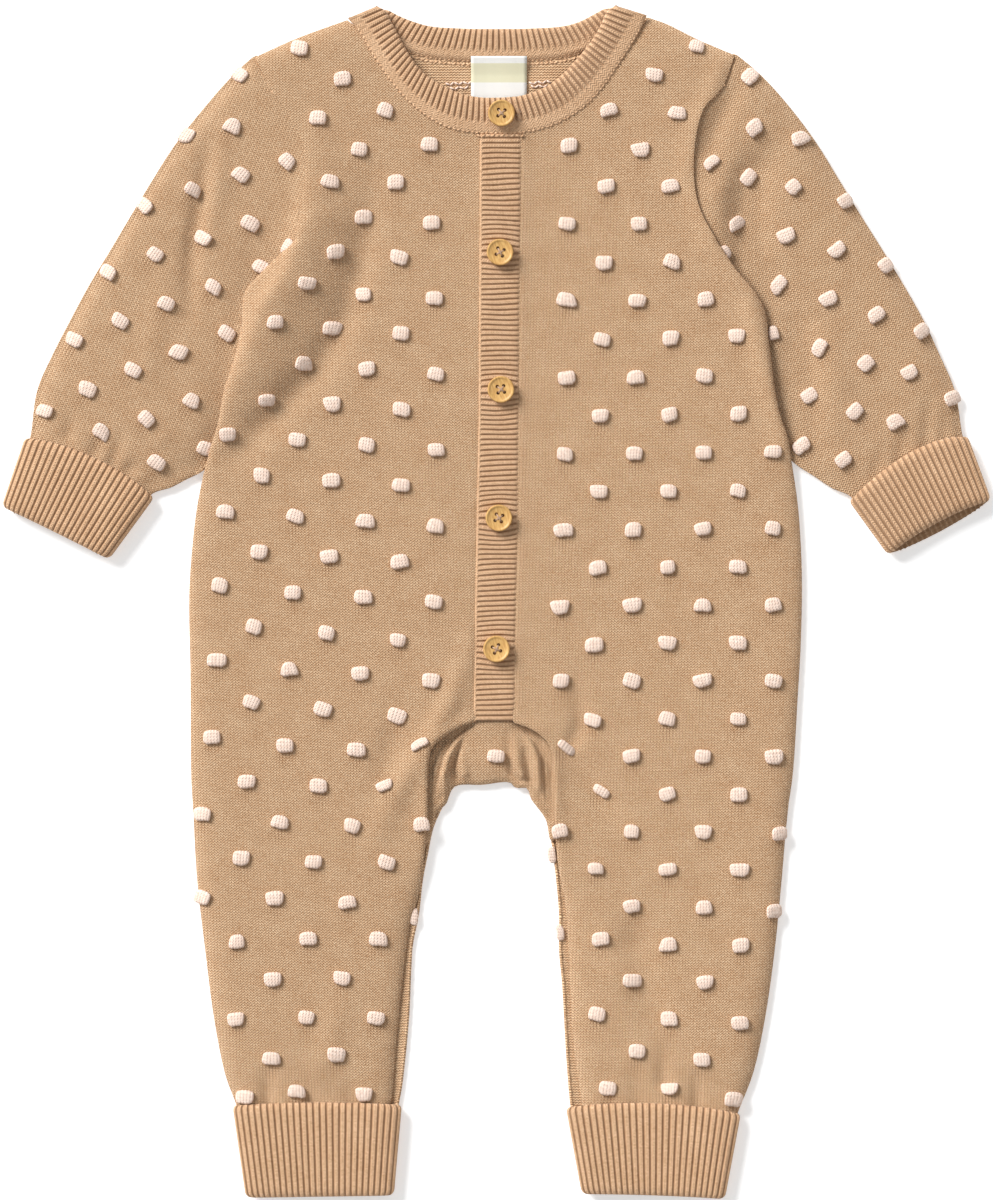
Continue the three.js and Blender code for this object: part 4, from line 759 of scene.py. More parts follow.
def place_puffs(name, places, height, size=BOBBLE, cuts=3, material=BOBBLE_YARN, uneven=1.0, side=1):
    """Puffs standing on a surface, as one piece, or hanging under it where side is -1."""
    form, faces = puff_form(cuts)
    slope_step = 1.5
    xy = places[:, :2]
    z = height(xy)
    slope_x = (height(xy + [slope_step, 0]) - height(xy - [slope_step, 0])) / (2 * slope_step)
    slope_y = (height(xy + [0, slope_step]) - height(xy - [0, slope_step])) / (2 * slope_step)
    slope_x, slope_y = np.clip(slope_x, -0.6, 0.6), np.clip(slope_y, -0.6, 0.6)
    points, uv, foot = [], [], []
    for k, (x, y, angle, width, length) in enumerate(places):
        share = 1 + chance.normal(0, 0.05 * uneven, 3)
        turn = Matrix.Rotation(angle + chance.normal(0, 0.12 * uneven), 3, "Z")
        upward = Vector((-slope_x[k], -slope_y[k], 1)).normalized()
        tilt = Vector((0, 0, 1)).rotation_difference(upward).to_matrix()
        half = np.array([size["width"] * width, size["length"] * length, size["height"] * 1.3]) / 2 * share
        body = form * half
        taper, lean, sag = chance.normal(0, 0.09 * uneven, 3)
        body[:, 0] *= 1 + taper * form[:, 1]
        body[:, 1] += (lean * form[:, 0] + (sag - 0.05 * uneven) * form[:, 0] ** 2) * half[1]
        ripple = 0.07 * uneven * np.cos(3 * math.pi * form[:, 0] + 2 * k)
        body[:, 1] *= 1 + ripple * (form[:, 1] < 0)
        turned = body @ np.array(tilt @ turn).T
        body = turned * [1, 1, side] + [x, y, z[k] + side * size["height"] * 0.3]
        body[:, 2] = np.maximum(body[:, 2], 0.02)
        points.append(body)
        marks = [3, 1] if cuts > 1 else [0.2, 0.1]
        spread = 1 + 0.3 * np.clip(-form[:, 2:], -0.2, 1)
        uv.append(form[:, :2] * marks * spread + [8 * k + 0.5 * (cuts == 1), 0])
        # The foot value is 1 toward a puff's base; the bobble material paints shade there.
        foot.append(np.clip(0.2 - form[:, 2], 0, 1) * (cuts > 1))
    count = len(form)
    every = np.vstack([faces + k * count for k in range(len(places))])[:, ::side]
    mesh = cloth_mesh(name, np.vstack(points), every, np.vstack(uv), {"foot": np.concatenate(foot)})
    return finish_mesh(name, mesh, material)


def pull_of(p, places):
    """How strongly the bobbles pull on the stitches above and below them."""
    total = np.zeros(len(p))
    for x, y, angle, *_ in places:
        dx, dy = p[:, 0] - x, p[:, 1] - y
        across = dx * math.cos(angle) + dy * math.sin(angle)
        along = dy * math.cos(angle) - dx * math.sin(angle)
        strip = np.exp(-((across / 3.2) ** 4)) * np.exp(-(((along + 3.6) / 4.6) ** 2)) * 0.5
        total = np.maximum(total, strip)
    return total


# Knitted panels
def yarn_axes(name):
    """Turns plane points into distance across and along the stitches, from the bobbles' lattice."""
    (_, xi, xj, *_), (_, yi, yj, *_) = LATTICES[name]
    across, along = np.array([xi, yi]), -np.array([xj, yj])
    back = np.linalg.inv(np.stack([across / np.linalg.norm(across), along / np.linalg.norm(along)], 1))
    return lambda p: p[:, :2] @ back.T


def slit_line(column, side, arch_end, neck_start):
    """The cut of a front half beside the button band."""
    rows = [(row[column] + side * (row[3] if side < 0 else -TUCK), row[0] - 1 + 3.6 * (row[0] > 200), 4.5)
            for row in PLACKET_EDGE]
    rows[0], rows[-1] = arch_end, (rows[-1][0], *neck_start[1:])
    return rows


HEMS = {
    "left": [(-115.6, -233.2, 3.0), (-100, -232.2, 3.7), (-82, -232, 3.8), (-49.6, -232.6, 3.0)],
    "right": [(106.9, -236.4, 3.0), (90, -233.4, 3.7), (70, -232, 3.8), (39.6, -233.2, 3.0)],
}
SIDE_ROUND, SIDE_DROP = 3.2, 1.75
SEAM_ROUND, SEAM_DROP = 1.4, 0.25
NECK_TUCK, NECK_MIDDLE = 1.3, 262.0


def front_half(side):
    tables = {
        "left": (NECK_LEFT, SHOULDER_LEFT, ARMHOLE_LEFT, SIDE_LEFT, INSEAM_LEFT, ARCH_LEFT),
        "right": (NECK_RIGHT, SHOULDER_RIGHT, ARMHOLE_RIGHT, SIDE_RIGHT, INSEAM_RIGHT, ARCH_RIGHT),
    }[side]
    neck, shoulder, armhole, flank, inseam, arch = tables
    hem = HEMS[side]
    shift = [NECK_TUCK / math.hypot(x, NECK_MIDDLE - y) for x, y, _ in neck[:-1]]
    neck = [(x - x * s, y + (NECK_MIDDLE - y) * s, z) for (x, y, z), s in zip(neck, shift)] + neck[-1:]
    slit = slit_line(1, -1, arch[-1], neck[0]) if side == "left" else slit_line(2, 1, arch[-1], neck[0])
    edges = [
        Edge(neck, 3, SEAM_ROUND, 0),
        Edge(shoulder, 4, SIDE_ROUND, SIDE_DROP),
        Edge(armhole, 3, SEAM_ROUND, SEAM_DROP),
        Edge([*flank, hem[0]], 4.5, SIDE_ROUND, SIDE_DROP),
        Edge(hem, 3, 1, 0),
        Edge([hem[-1], *inseam], 4.5, SIDE_ROUND, SIDE_DROP),
        Edge(arch, 3, 3.0, 1.8),
        Edge(slit, 3, SEAM_ROUND, SEAM_DROP),
    ]

    def inner(p):
        waves = 0.5 * np.sin(p[:, 1] / 61 + 1.3) * np.cos(p[:, 0] / 43)
        return FRONT_UNDERSIDE + waves - creased(p[:, :2], CREASES)

    return Panel(edges, inner, folds=FOLDS + FRONT_FOLDS)


def dress_panel(panel, name, places):
    """A front half as cloth, its stitches pulled beside the bobbles."""
    xy, faces = panel.net()
    z = panel.top(xy)
    axes = yarn_axes(name)
    points = np.column_stack([xy, z])
    mesh = cloth_mesh(name + "_cloth", points, faces, axes(xy), {"pulled": pull_of(xy, places)})
    piece = finish_mesh(name + "_cloth", mesh, [KNIT, KNIT_INSIDE], name)
    return thicken(piece, SHELL, 1)


def keep_bobbles(places, panel, seams, over=2.4, clear=4.4):
    """Bobbles on the panel: they may stand out past a fold, and keep off a seam."""
    xy = places[:, :2]
    within = inside(panel.loop, xy)
    off = away_from(xy, panel.fine)
    far = np.min([away_from(xy, panel.edges[k].fine) for k in seams], axis=0) > clear
    return places[(within | (off < over)) & far]


def declare(panel, layers=1):
    """Works out the area of the flat cut, times its layers, in square metres; the value is not kept."""
    area = abs(signed_area(panel.loop)) * MM * MM * layers


fronts = {}
for side in ("left", "right"):
    name = "front_" + side
    panel = front_half(side)
    places = np.array([*keep_bobbles(bobble_places(name), panel, (0, 7)), *EXTRA[name]])
    cloth = dress_panel(panel, name, places)
    bobbles = place_puffs(name + "_bobbles", places, panel.top)
    fronts[side] = panel
    declare(panel)

# Gusset between the legs
GUSSET_BOBBLE = np.array([[-0.2, -69.9, 0.08, 1, 1]])
GUSSET_FOLDS = [  # x y width depth
    [(-29.5, -98, 1.6, 1.3), (-29.6, -76, 1.6, 1.3), (-23.6, -63, 1.6, 1.3), (-12, -56.6, 1.6, 1)],
    [(24.6, -98, 1.6, 1.4), (24.6, -76, 1.6, 1.5), (18.6, -61.5, 1.6, 1.5), (9, -56.4, 1.6, 1.2)],
    [(-14.2, -57.6, 0.8, 1), (-20.4, -63.8, 0.8, 1.3), (-23.9, -69.5, 0.8, 1.5), (-26.2, -78.5, 0.8, 1.5),
     (-27.7, -84.2, 0.8, 1.4), (-27.1, -90, 0.8, 1)],
    [(-16.6, -62, 1.6, -0.8), (-21.5, -70.1, 1.7, -2.2), (-23.7, -78.5, 1.6, -2.3), (-22.8, -87, 1.6, -1)],
    [(-14.6, -61.5, 1.2, 0.5), (-18.2, -70, 1.3, 1.9), (-19.6, -76.5, 1.4, 2.5), (-17.8, -81.2, 1.5, 2.9)],
    [(-15.5, -70, 2, -0.5), (-14.2, -78, 2, -1.5)],
    [(13.4, -58.8, 0.8, 1), (17.9, -65, 0.8, 1.4), (21, -71.8, 0.8, 1.5), (21.9, -80, 0.8, 1.4),
     (22.6, -92, 0.8, 1)],
    [(14.4, -62, 1.7, -0.8), (18.2, -71, 1.7, -2), (19, -84, 1.6, -1.6)],
    [(5.6, -60, 2.2, 0.3), (5.4, -71, 1.8, 1.2), (6.6, -78.2, 1.5, 2.2), (10.6, -81.8, 1.4, 2.8)],
    [(8.6, -62, 2.4, -0.6), (9.4, -72, 2.2, -1.7), (11.6, -78.6, 2, -1.9)],
    [(13.2, -68, 1.6, 0.8), (14.6, -81, 1.6, 1.8)],
    [(-24.6, -88, 1.1, 1), (-29.5, -98, 1.1, 0.8)], [(19.5, -88, 1.1, 1), (24.4, -99, 1.1, 0.8)],
    [(-29, -97, 0.9, 0.8), (-31, -108, 0.9, 0.6)], [(23, -95, 0.9, 0.8), (26, -106, 0.9, 0.6)],
]
FEW_ROWS = EDGE_ROWS[:3]


def gusset_level(p):
    """A low dome round the bobble, a swell beside the left leg and a rise toward the button band."""
    return (
        2.7 + 0.9 * np.exp(-(((p[:, 0] + 1) / 20) ** 2) - ((p[:, 1] + 72) / 10) ** 2)
        + 1.1 * np.exp(-(((p[:, 0] + 26) / 6) ** 2) - ((p[:, 1] + 76) / 17) ** 4)
        + 2 * np.exp(-(((p[:, 0] + 1) / 11) ** 4) - ((p[:, 1] + 52) / 7) ** 2)
        - creased(p[:, :2], GUSSET_FOLDS)
    )


gusset = Panel([Edge(GUSSET_HIDDEN, 3, 2, 0), Edge(GUSSET_LOWER, 3, 2.4, 1.5)], gusset_level)
xy, faces = gusset.net(0.7, FEW_ROWS)
points = np.column_stack([xy, np.maximum(gusset.top(xy), 1.5)])
mesh = cloth_mesh("gusset_cloth", points, faces, xy, {"pulled": pull_of(xy, GUSSET_BOBBLE)})
gusset_cloth = thicken(finish_mesh("gusset_cloth", mesh, [KNIT, KNIT_INSIDE], "crotch_gusset"), SHELL, 1)
gusset_bobble = place_puffs("gusset_bobble", GUSSET_BOBBLE, gusset.top)
declare(gusset)


# Back, seen at the neck, along the inner legs and from below
def moved(table, aside=0.0, down=0.0):
    """The line of a table at height 0, shifted toward the middle and down."""
    return [(row[0] - math.copysign(aside, row[0]), row[1] - down, 0.0) for row in table]


def pressed_level(p):
    """Height of the cloth over the surface where pressed bobbles hold it up."""
    return np.full(len(p), PRESSED["height"])


EDGE_MARGIN = 5  # a pressed bobble stays this far from a panel's edge
BACK_HEMS = {
    "left": [(-44.8, -232.6), (-82, -232), (-100, -232.2), (-115.9, -233.2)],
    "right": [(107.4, -236.4), (90, -233.4), (70, -232), (34.2, -233.2)],
}
BACK_RIM = 1, 1.7, 1.6  # fall, radius and drop of an open edge
HIDDEN_RIM = 1, 1, 0  # the same for an edge inside a seam or cuff
back_edges = [
    Edge(moved([(-61.6, 259.0), *BACK_NECK_LOWER[1:-1], (61.6, 259.4)], 0, 0.1), *HIDDEN_RIM),
    Edge(moved(SHOULDER_RIGHT, 0.5), *BACK_RIM),
    Edge(moved(ARMHOLE_RIGHT, 0.3), *HIDDEN_RIM),
    Edge(moved([*BACK_SIDE_RIGHT, BACK_HEMS["right"][0]]), *BACK_RIM),
    Edge(moved(BACK_HEMS["right"]), *HIDDEN_RIM),
    Edge(moved([BACK_HEMS["right"][-1], *BACK_INSEAM_RIGHT]), *BACK_RIM),
    Edge(moved([BACK_INSEAM_RIGHT[-1], (4, -79), (-10, -79), BACK_INSEAM_LEFT[-1]]), *BACK_RIM),
    Edge(moved([*BACK_INSEAM_LEFT[::-1], BACK_HEMS["left"][0]]), *BACK_RIM),
    Edge(moved(BACK_HEMS["left"]), *HIDDEN_RIM),
    Edge(moved([BACK_HEMS["left"][-1], *BACK_SIDE_LEFT[::-1]]), *BACK_RIM),
    Edge(moved(ARMHOLE_LEFT[::-1], 0.3), *HIDDEN_RIM),
    Edge(moved(SHOULDER_LEFT[::-1], 0.5), *BACK_RIM),
]
back = Panel(back_edges, lambda p: np.zeros(len(p)), 0.0)
xy, faces = back.net(3.0, FEW_ROWS)
under = np.maximum(-back.top(xy), 0) + PRESSED["height"]
points = np.column_stack([xy, under])
mesh = cloth_mesh("back_cloth", points, faces[:, ::-1], xy, {"pulled": np.zeros(len(xy))})
back_cloth = finish_mesh("back_cloth", mesh, [KNIT, KNIT_INSIDE], "back")
thicken(back_cloth, CLOTH - PRESSED["height"], 1)
under_places = np.vstack([bobble_places("front_" + side) for side in fronts])
under_places[:, [0, 2]] *= -1
within = inside(back.loop, under_places[:, :2]) & (away_from(under_places, back.fine) > EDGE_MARGIN)
back_bobbles = place_puffs("back_bobbles", under_places[within], pressed_level, PRESSED, 2, side=-1)
PEEKS = np.array([  # x y turn width length
    (-37.3, -142.4, 1.5, 0.9, 0.6), (28.8, -149.6, 1.6, 0.9, 0.6), (25.0, -114.6, 1.4, 0.9, 0.6),
])
back_peeks = place_puffs("back_edge_bobbles", PEEKS, lambda p: np.full(len(p), 1.3))
declare(back)

# Sleeves: flattened tubes, open where they meet the body and inside their cuffs
FOLD_HEIGHT = 2.4
MOUTHS = {
    "left": ([(-169.2, 58.2, 5.6), (-181.3, 65, 5.8), (-193.3, 70.2, 5.6)], (-0.464, -0.886)),
    "right": ([(168, 55.1, 5.6), (178.8, 63.2, 5.8), (189.8, 69.9, 5.6)], (0.467, -0.884)),
}


def sleeve_panel(side):
    outer, hidden, armhole = {
        "left": (SLEEVE_LEFT_OUTER, SLEEVE_LEFT_INNER, ARMHOLE_LEFT),
        "right": (SLEEVE_RIGHT_OUTER, SLEEVE_RIGHT_INNER, ARMHOLE_RIGHT),
    }[side]
    mouth, along = MOUTHS[side]
    along = np.array(along)
    last = len(armhole) - 1
    under = 0.6 * (1 if side == "left" else -1)
    seam = [(x + under, y, z + CLOTH) for x, y, z in armhole]
    outer = [*outer, (outer[-1][0] + 2.2 * under, outer[-1][1] + 0.5)]
    seam[0] = (*outer[-1], 2.7)
    seam[last] = (hidden[-1][0] + 8 * under, hidden[-1][1] - 1, 4.6)
    middle = np.array([outer[0], hidden[0]]).mean(0)

    def deeper(point, height):
        p = np.array(point[:2]) + along * HEM_TUCK
        aside = middle + along * HEM_TUCK - p
        return (*(p + aside / np.linalg.norm(aside) * 1.8), height)

    corners = [deeper(outer[0], 3.4), deeper(hidden[0], 3.4)]
    edges = [
        Edge([corners[0], *[(x, y, 2.7) for x, y in outer]], 4, 3.0, 0.0),
        Edge(seam, 3, SEAM_ROUND, 0),
        Edge([seam[last], *[(x, y, 2.7) for x, y in hidden[-2::-1]], corners[1]], 11, 3.0, 0.0),
        Edge([corners[1], *[deeper(p, 5.4) for p in mouth], corners[0]], 3, 1, 0),
    ]

    def inner(p):
        return SLEEVE_TOP + 0.3 * np.sin(p[:, 0] / 19 + p[:, 1] / 31) - creased(p[:, :2], CREASES)

    return Panel(edges, inner, 0.0, FOLDS + SLEEVE_FOLDS)


def sleeve_top(panel, body):
    """The sleeve's upper side, pressed down beside the body that lies on it."""
    flank = body.edges[3].fine

    def height(p):
        z = panel.top(p)
        edge = np.minimum(away_from(p, panel.edges[0].fine), away_from(p, panel.edges[2].fine))
        z = FOLD_HEIGHT + np.maximum(z - FOLD_HEIGHT, 0.8) * rounding(edge / 3.0)
        press = np.exp(-((away_from(p, flank) / 5.0) ** 2)) * np.clip((160 - p[:, 1]) / 25, 0, 1)
        seam = away_from(p, panel.edges[1].fine)
        dip = SEAM_DROP * (1 - rounding(seam / SEAM_ROUND)) * (seam < 2)
        return np.maximum(z - 0.9 * press, FOLD_HEIGHT) - dip

    return height


for side in ("left", "right"):
    name = "sleeve_" + side
    panel = sleeve_panel(side)
    body = fronts[side]
    height = sleeve_top(panel, body)
    xy, faces = panel.net()
    folds = np.minimum(away_from(xy, panel.edges[0].fine), away_from(xy, panel.edges[2].fine))
    on_fold = folds < 0.05
    low = PRESSED["height"] + (FOLD_HEIGHT - PRESSED["height"]) * (1 - rounding(folds / FOLD_HEIGHT))
    count = len(xy)
    second = np.where(on_fold, np.arange(count), np.arange(count) + count)
    high = np.where(on_fold, FOLD_HEIGHT, height(xy))
    points = np.vstack([np.column_stack([xy, z]) for z in (high, low)])
    every = np.vstack([faces, second[faces][:, ::-1]])
    axes = yarn_axes(name)
    all_places = bobble_places(name)
    places = keep_bobbles(all_places, panel, (3,), 1.6, 3.0)
    covered = inside(body.loop, places[:, :2]) & (away_from(places[:, :2], body.fine) > 2.2)
    places = np.array([*places[~covered], *EXTRA[name]])
    pulled = pull_of(xy, places)
    mesh = cloth_mesh(name + "_cloth", points, every, np.vstack([axes(xy), axes(xy)]),
                      {"pulled": np.concatenate([pulled, pulled * 0])})
    bm = bmesh.new()
    bm.from_mesh(mesh)
    bmesh.ops.delete(bm, geom=[v for v in bm.verts if not v.link_faces], context="VERTS")
    bm.to_mesh(mesh)
    bm.free()
    cloth = thicken(finish_mesh(name + "_cloth", mesh, [KNIT, KNIT_INSIDE], name), SHELL, 1)
    bobbles = place_puffs(name + "_bobbles", places, height)
    lower = all_places + [6, -4, 0, 0, 0]
    lower = lower[inside(panel.loop, lower[:, :2]) & (away_from(lower, panel.fine) > EDGE_MARGIN)]
    pressed = place_puffs(name + "_lower_bobbles", lower, pressed_level, PRESSED, 2, side=-1)
    declare(panel, layers=2)

# Turned-up cuffs
CUFFS = {  # corners in order start left, start right, mouth right, mouth left
    "sleeve_cuff_left": dict(corners=((-153.6, 46.6), (-212.2, 73.8), (-222.8, 42.4), (-174.2, 18.4)),
                             start_bow=-4.6, skew=0, mouth_bow=-0.2, low_bow=-0.2, ribs=23),
    "sleeve_cuff_right": dict(corners=((212, 74.6), (158.2, 45), (176, 20.4), (222.8, 45.4)),
                              start_bow=-5.4, skew=-0.3, mouth_bow=-2.4, low_bow=1.8, ribs=22),
    "leg_cuff_left": dict(corners=((-42.4, -226.7), (-119, -227), (-113, -268.6), (-46, -267.6)),
                          start_bow=-1.2, skew=0, mouth_bow=0, low_bow=0, ribs=27),
    "leg_cuff_right": dict(corners=((110.2, -230.6), (31, -227.8), (38.2, -267), (103, -269.2)),
                           start_bow=-3.2, skew=0, mouth_bow=-0.6, low_bow=-0.6, ribs=27),
}
CUFF_HEIGHT = 8.5
CUFF_HALF_WIDTH = 35  # about half a cuff's width, to space the points round it
RIB_SAMPLES = 8  # points over each rib
RIB_DEPTH = 0.85
CORNER = 2.6  # radius of a cuff's corners


def rib_rise(u):
    """Round crests and narrow grooves: 0 in a groove, 1 on a crest."""
    return np.abs(np.sin(np.pi * u)) ** 0.5


def cuff_section(ribs):
    """Share across, share of the half height, and outward normal, evenly spaced round a flattened tube."""
    t = np.linspace(0, 2 * np.pi, 4001)
    c, s = np.cos(t), np.sin(t)
    across = np.sign(c) * np.abs(c) ** (2 / 5)
    rise = np.sign(s) * np.abs(s) ** (2 / 2.4)
    section = np.column_stack([across * CUFF_HALF_WIDTH, rise * CUFF_HEIGHT / 2, across, rise])
    line = evenly(section, count=ribs * 2 * RIB_SAMPLES)
    step = np.roll(line[:-1, :2], -1, 0) - np.roll(line[:-1, :2], 1, 0)
    normal = np.stack([step[:, 1], -step[:, 0]], 1) / np.linalg.norm(step, axis=1)[:, None]
    return line[:, 2], line[:, 3], np.vstack([normal, normal[:1]])


def make_cuff(name, spec):
    start_left, start_right, mouth_right, mouth_left = (np.array(c, float) for c in spec["corners"])
    axis = (mouth_left + mouth_right - start_left - start_right) / 2
    length = float(np.linalg.norm(axis))
    axis /= length
    across, rise, normal = cuff_section(spec["ribs"])
    ribs = np.arange(len(across)) / RIB_SAMPLES
    v = (1 - across) / 2
    ends = np.array([0, 0.15, 0.5, 1.1, 2.0]) / length
    shares = np.concatenate([ends, np.linspace(3.2 / length, 1 - 3.2 / length, 20), 1 - ends[::-1]])
    points, uv = [], []
    for u in shares:
        edge = min(u, 1 - u) * length
        lip = 0.5 + 0.5 * float(rounding(np.array(edge / 3.4)))
        swell = 0.35 * math.sin(math.pi * u)
        drift = 0.12 * np.sin(ribs * 0.9 + u * 5)
        groove = RIB_DEPTH * (1 - rib_rise(ribs + drift * 0.2)) * np.where(rise > 0, 1, 0.45)
        shape = np.column_stack([across, rise])
        mouth = np.where(rise > 0, spec["mouth_bow"], spec["low_bow"])
        start = spec["start_bow"] * (1 + spec["skew"] * (2 * v - 1))
        bow = ((1 - u) * start + u * mouth) * (1 - (2 * v - 1) ** 2)
        a = start_left + (start_right - start_left) * v[:, None]
        b = mouth_left + (mouth_right - mouth_left) * v[:, None]
        flat = a * (1 - u) + b * u + axis * bow[:, None]
        corner = CORNER * (1 - float(rounding(np.array(edge / CORNER))))
        groove = groove * (1 - corner / CORNER * across**4)
        side = (start_left - start_right) * (1 - u) + (mouth_left - mouth_right) * u
        side /= np.linalg.norm(side)
        z = CUFF_HEIGHT / 2 * (1 + rise * np.where(rise > 0, lip, 1)) + swell * (rise > 0) * rise
        flat = flat - side * (groove * normal[:, 0] + corner * np.sign(across) * np.abs(across) ** 6)[:, None]
        z = z - groove * normal[:, 1]
        points.append(np.column_stack([flat, np.maximum(z, 0)]))
        uv.append(np.column_stack([ribs + 0.0, np.full(len(ribs), u * length)]))
    points, uv = np.array(points), np.array(uv)
    piece = grid_piece(name + "_rib", points, uv, RIBBING, name, wrap=True,
                       values={"deep": np.ones(points.shape[:2])})
    thicken(piece, SHELL)


for name, spec in CUFFS.items():
    make_cuff(name, spec)

# Ribbed bands round the neck
BAND_CORNER = 0.14  # share of a band's width that its end corner loses


def band(name, inner, outer, ribs, profile, node):
    """A ribbed band between two lines.

    The profile's columns: share across, height, share of the rib's depth, shade in the grooves.
    """
    count = ribs * RIB_SAMPLES
    a, b = (evenly(smooth(line, 1.0), count=count)[:, :2] for line in (inner, outer))
    across = smooth_profile(profile, 4)
    k = np.arange(count + 1) / RIB_SAMPLES
    rise = rib_rise(k)
    width = float(np.linalg.norm(a - b, axis=1).mean())
    from_end = np.minimum(k, ribs - k)[:, None]
    a = a + (b - a) * BAND_CORNER * np.exp(-((from_end / 0.9) ** 2))
    points = np.empty((len(across), count + 1, 3))
    for row, (share, z, rib, _) in enumerate(across):
        points[row, :, :2] = a * (1 - share) + b * share
        points[row, :, 2] = z - RIB_DEPTH * rib * (1 - rise)
    uv = np.stack(np.meshgrid(k, across[:, 0] * width), -1)
    deep = np.repeat(across[:, 3:4], count + 1, 1)
    return grid_piece(name, points, uv, RIBBING, node, values={"deep": deep}, turn=True)


def smooth_profile(profile, steps):
    """The profile with rows added between its rows."""
    rows = np.array(profile, float)
    t = np.arange(len(rows))
    fine = np.linspace(0, len(rows) - 1, (len(rows) - 1) * steps + 1)
    return np.stack([np.interp(fine, t, column) for column in rows.T], 1)


NECK_PROFILE = [
    (0.05, 4.5, 0.2, 0.6), (-0.01, 5.2, 0.5, 0.9), (0.0, 6.5, 0.8, 1), (0.04, 7.5, 1, 1), (0.12, 8.1, 1, 1),
    (0.4, 8.2, 1, 1), (0.58, 7.9, 1, 0.95), (0.67, 7.5, 0.6, 0.6), (0.74, 7.2, 0, 0), (0.88, 6.9, 0, 0),
    (0.95, 6.75, 0, 0), (1.0, 6.4, 0, 0), (1.03, 5.9, 0, 0), (1.03, 5.2, 0, 0),
]
BACK_NECK_PROFILE = [
    (0.02, 0.4, 0.2, 0.6), (-0.01, 1.2, 0.5, 1), (0.0, 2.3, 0.8, 1), (0.05, 3.2, 1, 1), (0.15, 3.7, 1, 1),
    (0.58, 3.7, 1, 1), (0.68, 3.4, 0.5, 0.6), (0.76, 3.1, 0, 0), (0.92, 2.9, 0, 0), (1.0, 2.4, 0, 0),
    (1.05, 1.9, 0, 0), (1.05, 1.5, 0, 0),
]
neck_front = band("neckband_front_rib", NECK_INNER, NECK_OUTER, 60, NECK_PROFILE, "neckband_front")
neck_back = band(
    "neckband_back_rib", BACK_NECK_UPPER, BACK_NECK_LOWER, 43, BACK_NECK_PROFILE, "neckband_back"
)

# Rows of linked stitches along the seams, and the loose floats of bobble yarn inside the back
LINK = {"width": 1.9, "length": 0.95, "height": 0.5}
FLOAT = {"width": 2.4, "length": 0.9, "height": 0.6}
LINK_STEP = 2.1
SEAMS = [  # line, height over the line, first and last share of the line
    (NECK_OUTER, 6.1, 0.04, 0.96),
    ([(x, y - 0.6) for x, y in BACK_NECK_LOWER[1:-1]], 1.6, 0.02, 0.98),
    ([(x, y - 2.4) for x, y in BACK_NECK_LOWER[1:-1]], 1.5, 0.04, 0.96),
    ([row[:2] for row in ARMHOLE_LEFT[:6]], 5.5, 0.3, 1),
    ([row[:2] for row in ARMHOLE_RIGHT[:5]], 5.5, 0.3, 0.75),
    ([(-8, 208.9), (2, 209.1), (11.6, 208.8)], 6.5, 0, 1),
]


def links_along(line, z, first, last):
    """Places of small slanting stitches along a line, with their height."""
    line = smooth(line, 0.5)[:, :2]
    line = line[int(first * (len(line) - 1)) : int(last * (len(line) - 1)) + 1]
    line = evenly(line, step=LINK_STEP)
    heading = np.arctan2(*(np.gradient(line, axis=0).T[::-1]))
    slant = np.where(np.arange(len(line)) % 2, 0.55, -0.55)
    ones = np.ones(len(line))
    return np.column_stack([line, heading + slant, ones, ones]), np.full(len(line), z)


def place_links(name, rows, size, material):
    found = [links_along(*row) for row in rows]
    level = np.concatenate([z for _, z in found])
    at = np.vstack([places for places, _ in found])
    place_puffs(name, at, lambda p: level, size, 1, material, 0.6)


place_links("seam_stitches", SEAMS, LINK, SEAM_YARN)
FLOATS = [
    ([(-22, 232.6), (-12, 233.2)], 1.7, 0, 1), ([(15.6, 233), (23.6, 233.6)], 1.7, 0, 1),
    ([(-20, 230.6), (-13.5, 231)], 1.6, 0, 1), ([(16.4, 231.4), (22, 231.6)], 1.6, 0, 1),
]
place_links("bobble_yarn_floats", FLOATS, FLOAT, BOBBLE_YARN)


# Button band
BUTTONS = [  # x y z
    (2.2, 218.9, 8.0), (1.6, 156.4, 7.55), (2.0, 94.8, 7.55), (1.1, 37.1, 7.55), (0.0, -21.8, 7.55),
]
PLACKET_RIBS = 113
PLACKET_PROFILE = [  # share across, height, share of the rib's depth, shade in the grooves
    (-0.01, 5.0, 0, 0), (-0.02, 5.8, 0, 0), (0.0, 6.5, 0, 0), (0.035, 6.85, 0, 0), (0.075, 6.9, 0.7, 0.8),
    (0.12, 7.05, 1, 1), (0.5, 7.15, 1, 1), (0.9, 7.0, 1, 1), (0.96, 6.75, 1, 1), (0.995, 6.3, 0.8, 1),
    (1.01, 5.7, 0.5, 1), (1.01, 5.1, 0.3, 1),
]
PLACKET_RIB_DEPTH = 0.9
PLACKET_RIB_SPACE = 2.3
PLACKET_WIDTH = 18.3


def look_up(y, column):
    rows = np.array(PLACKET_EDGE, float)
    return np.interp(y, rows[:, 0], rows[:, column])


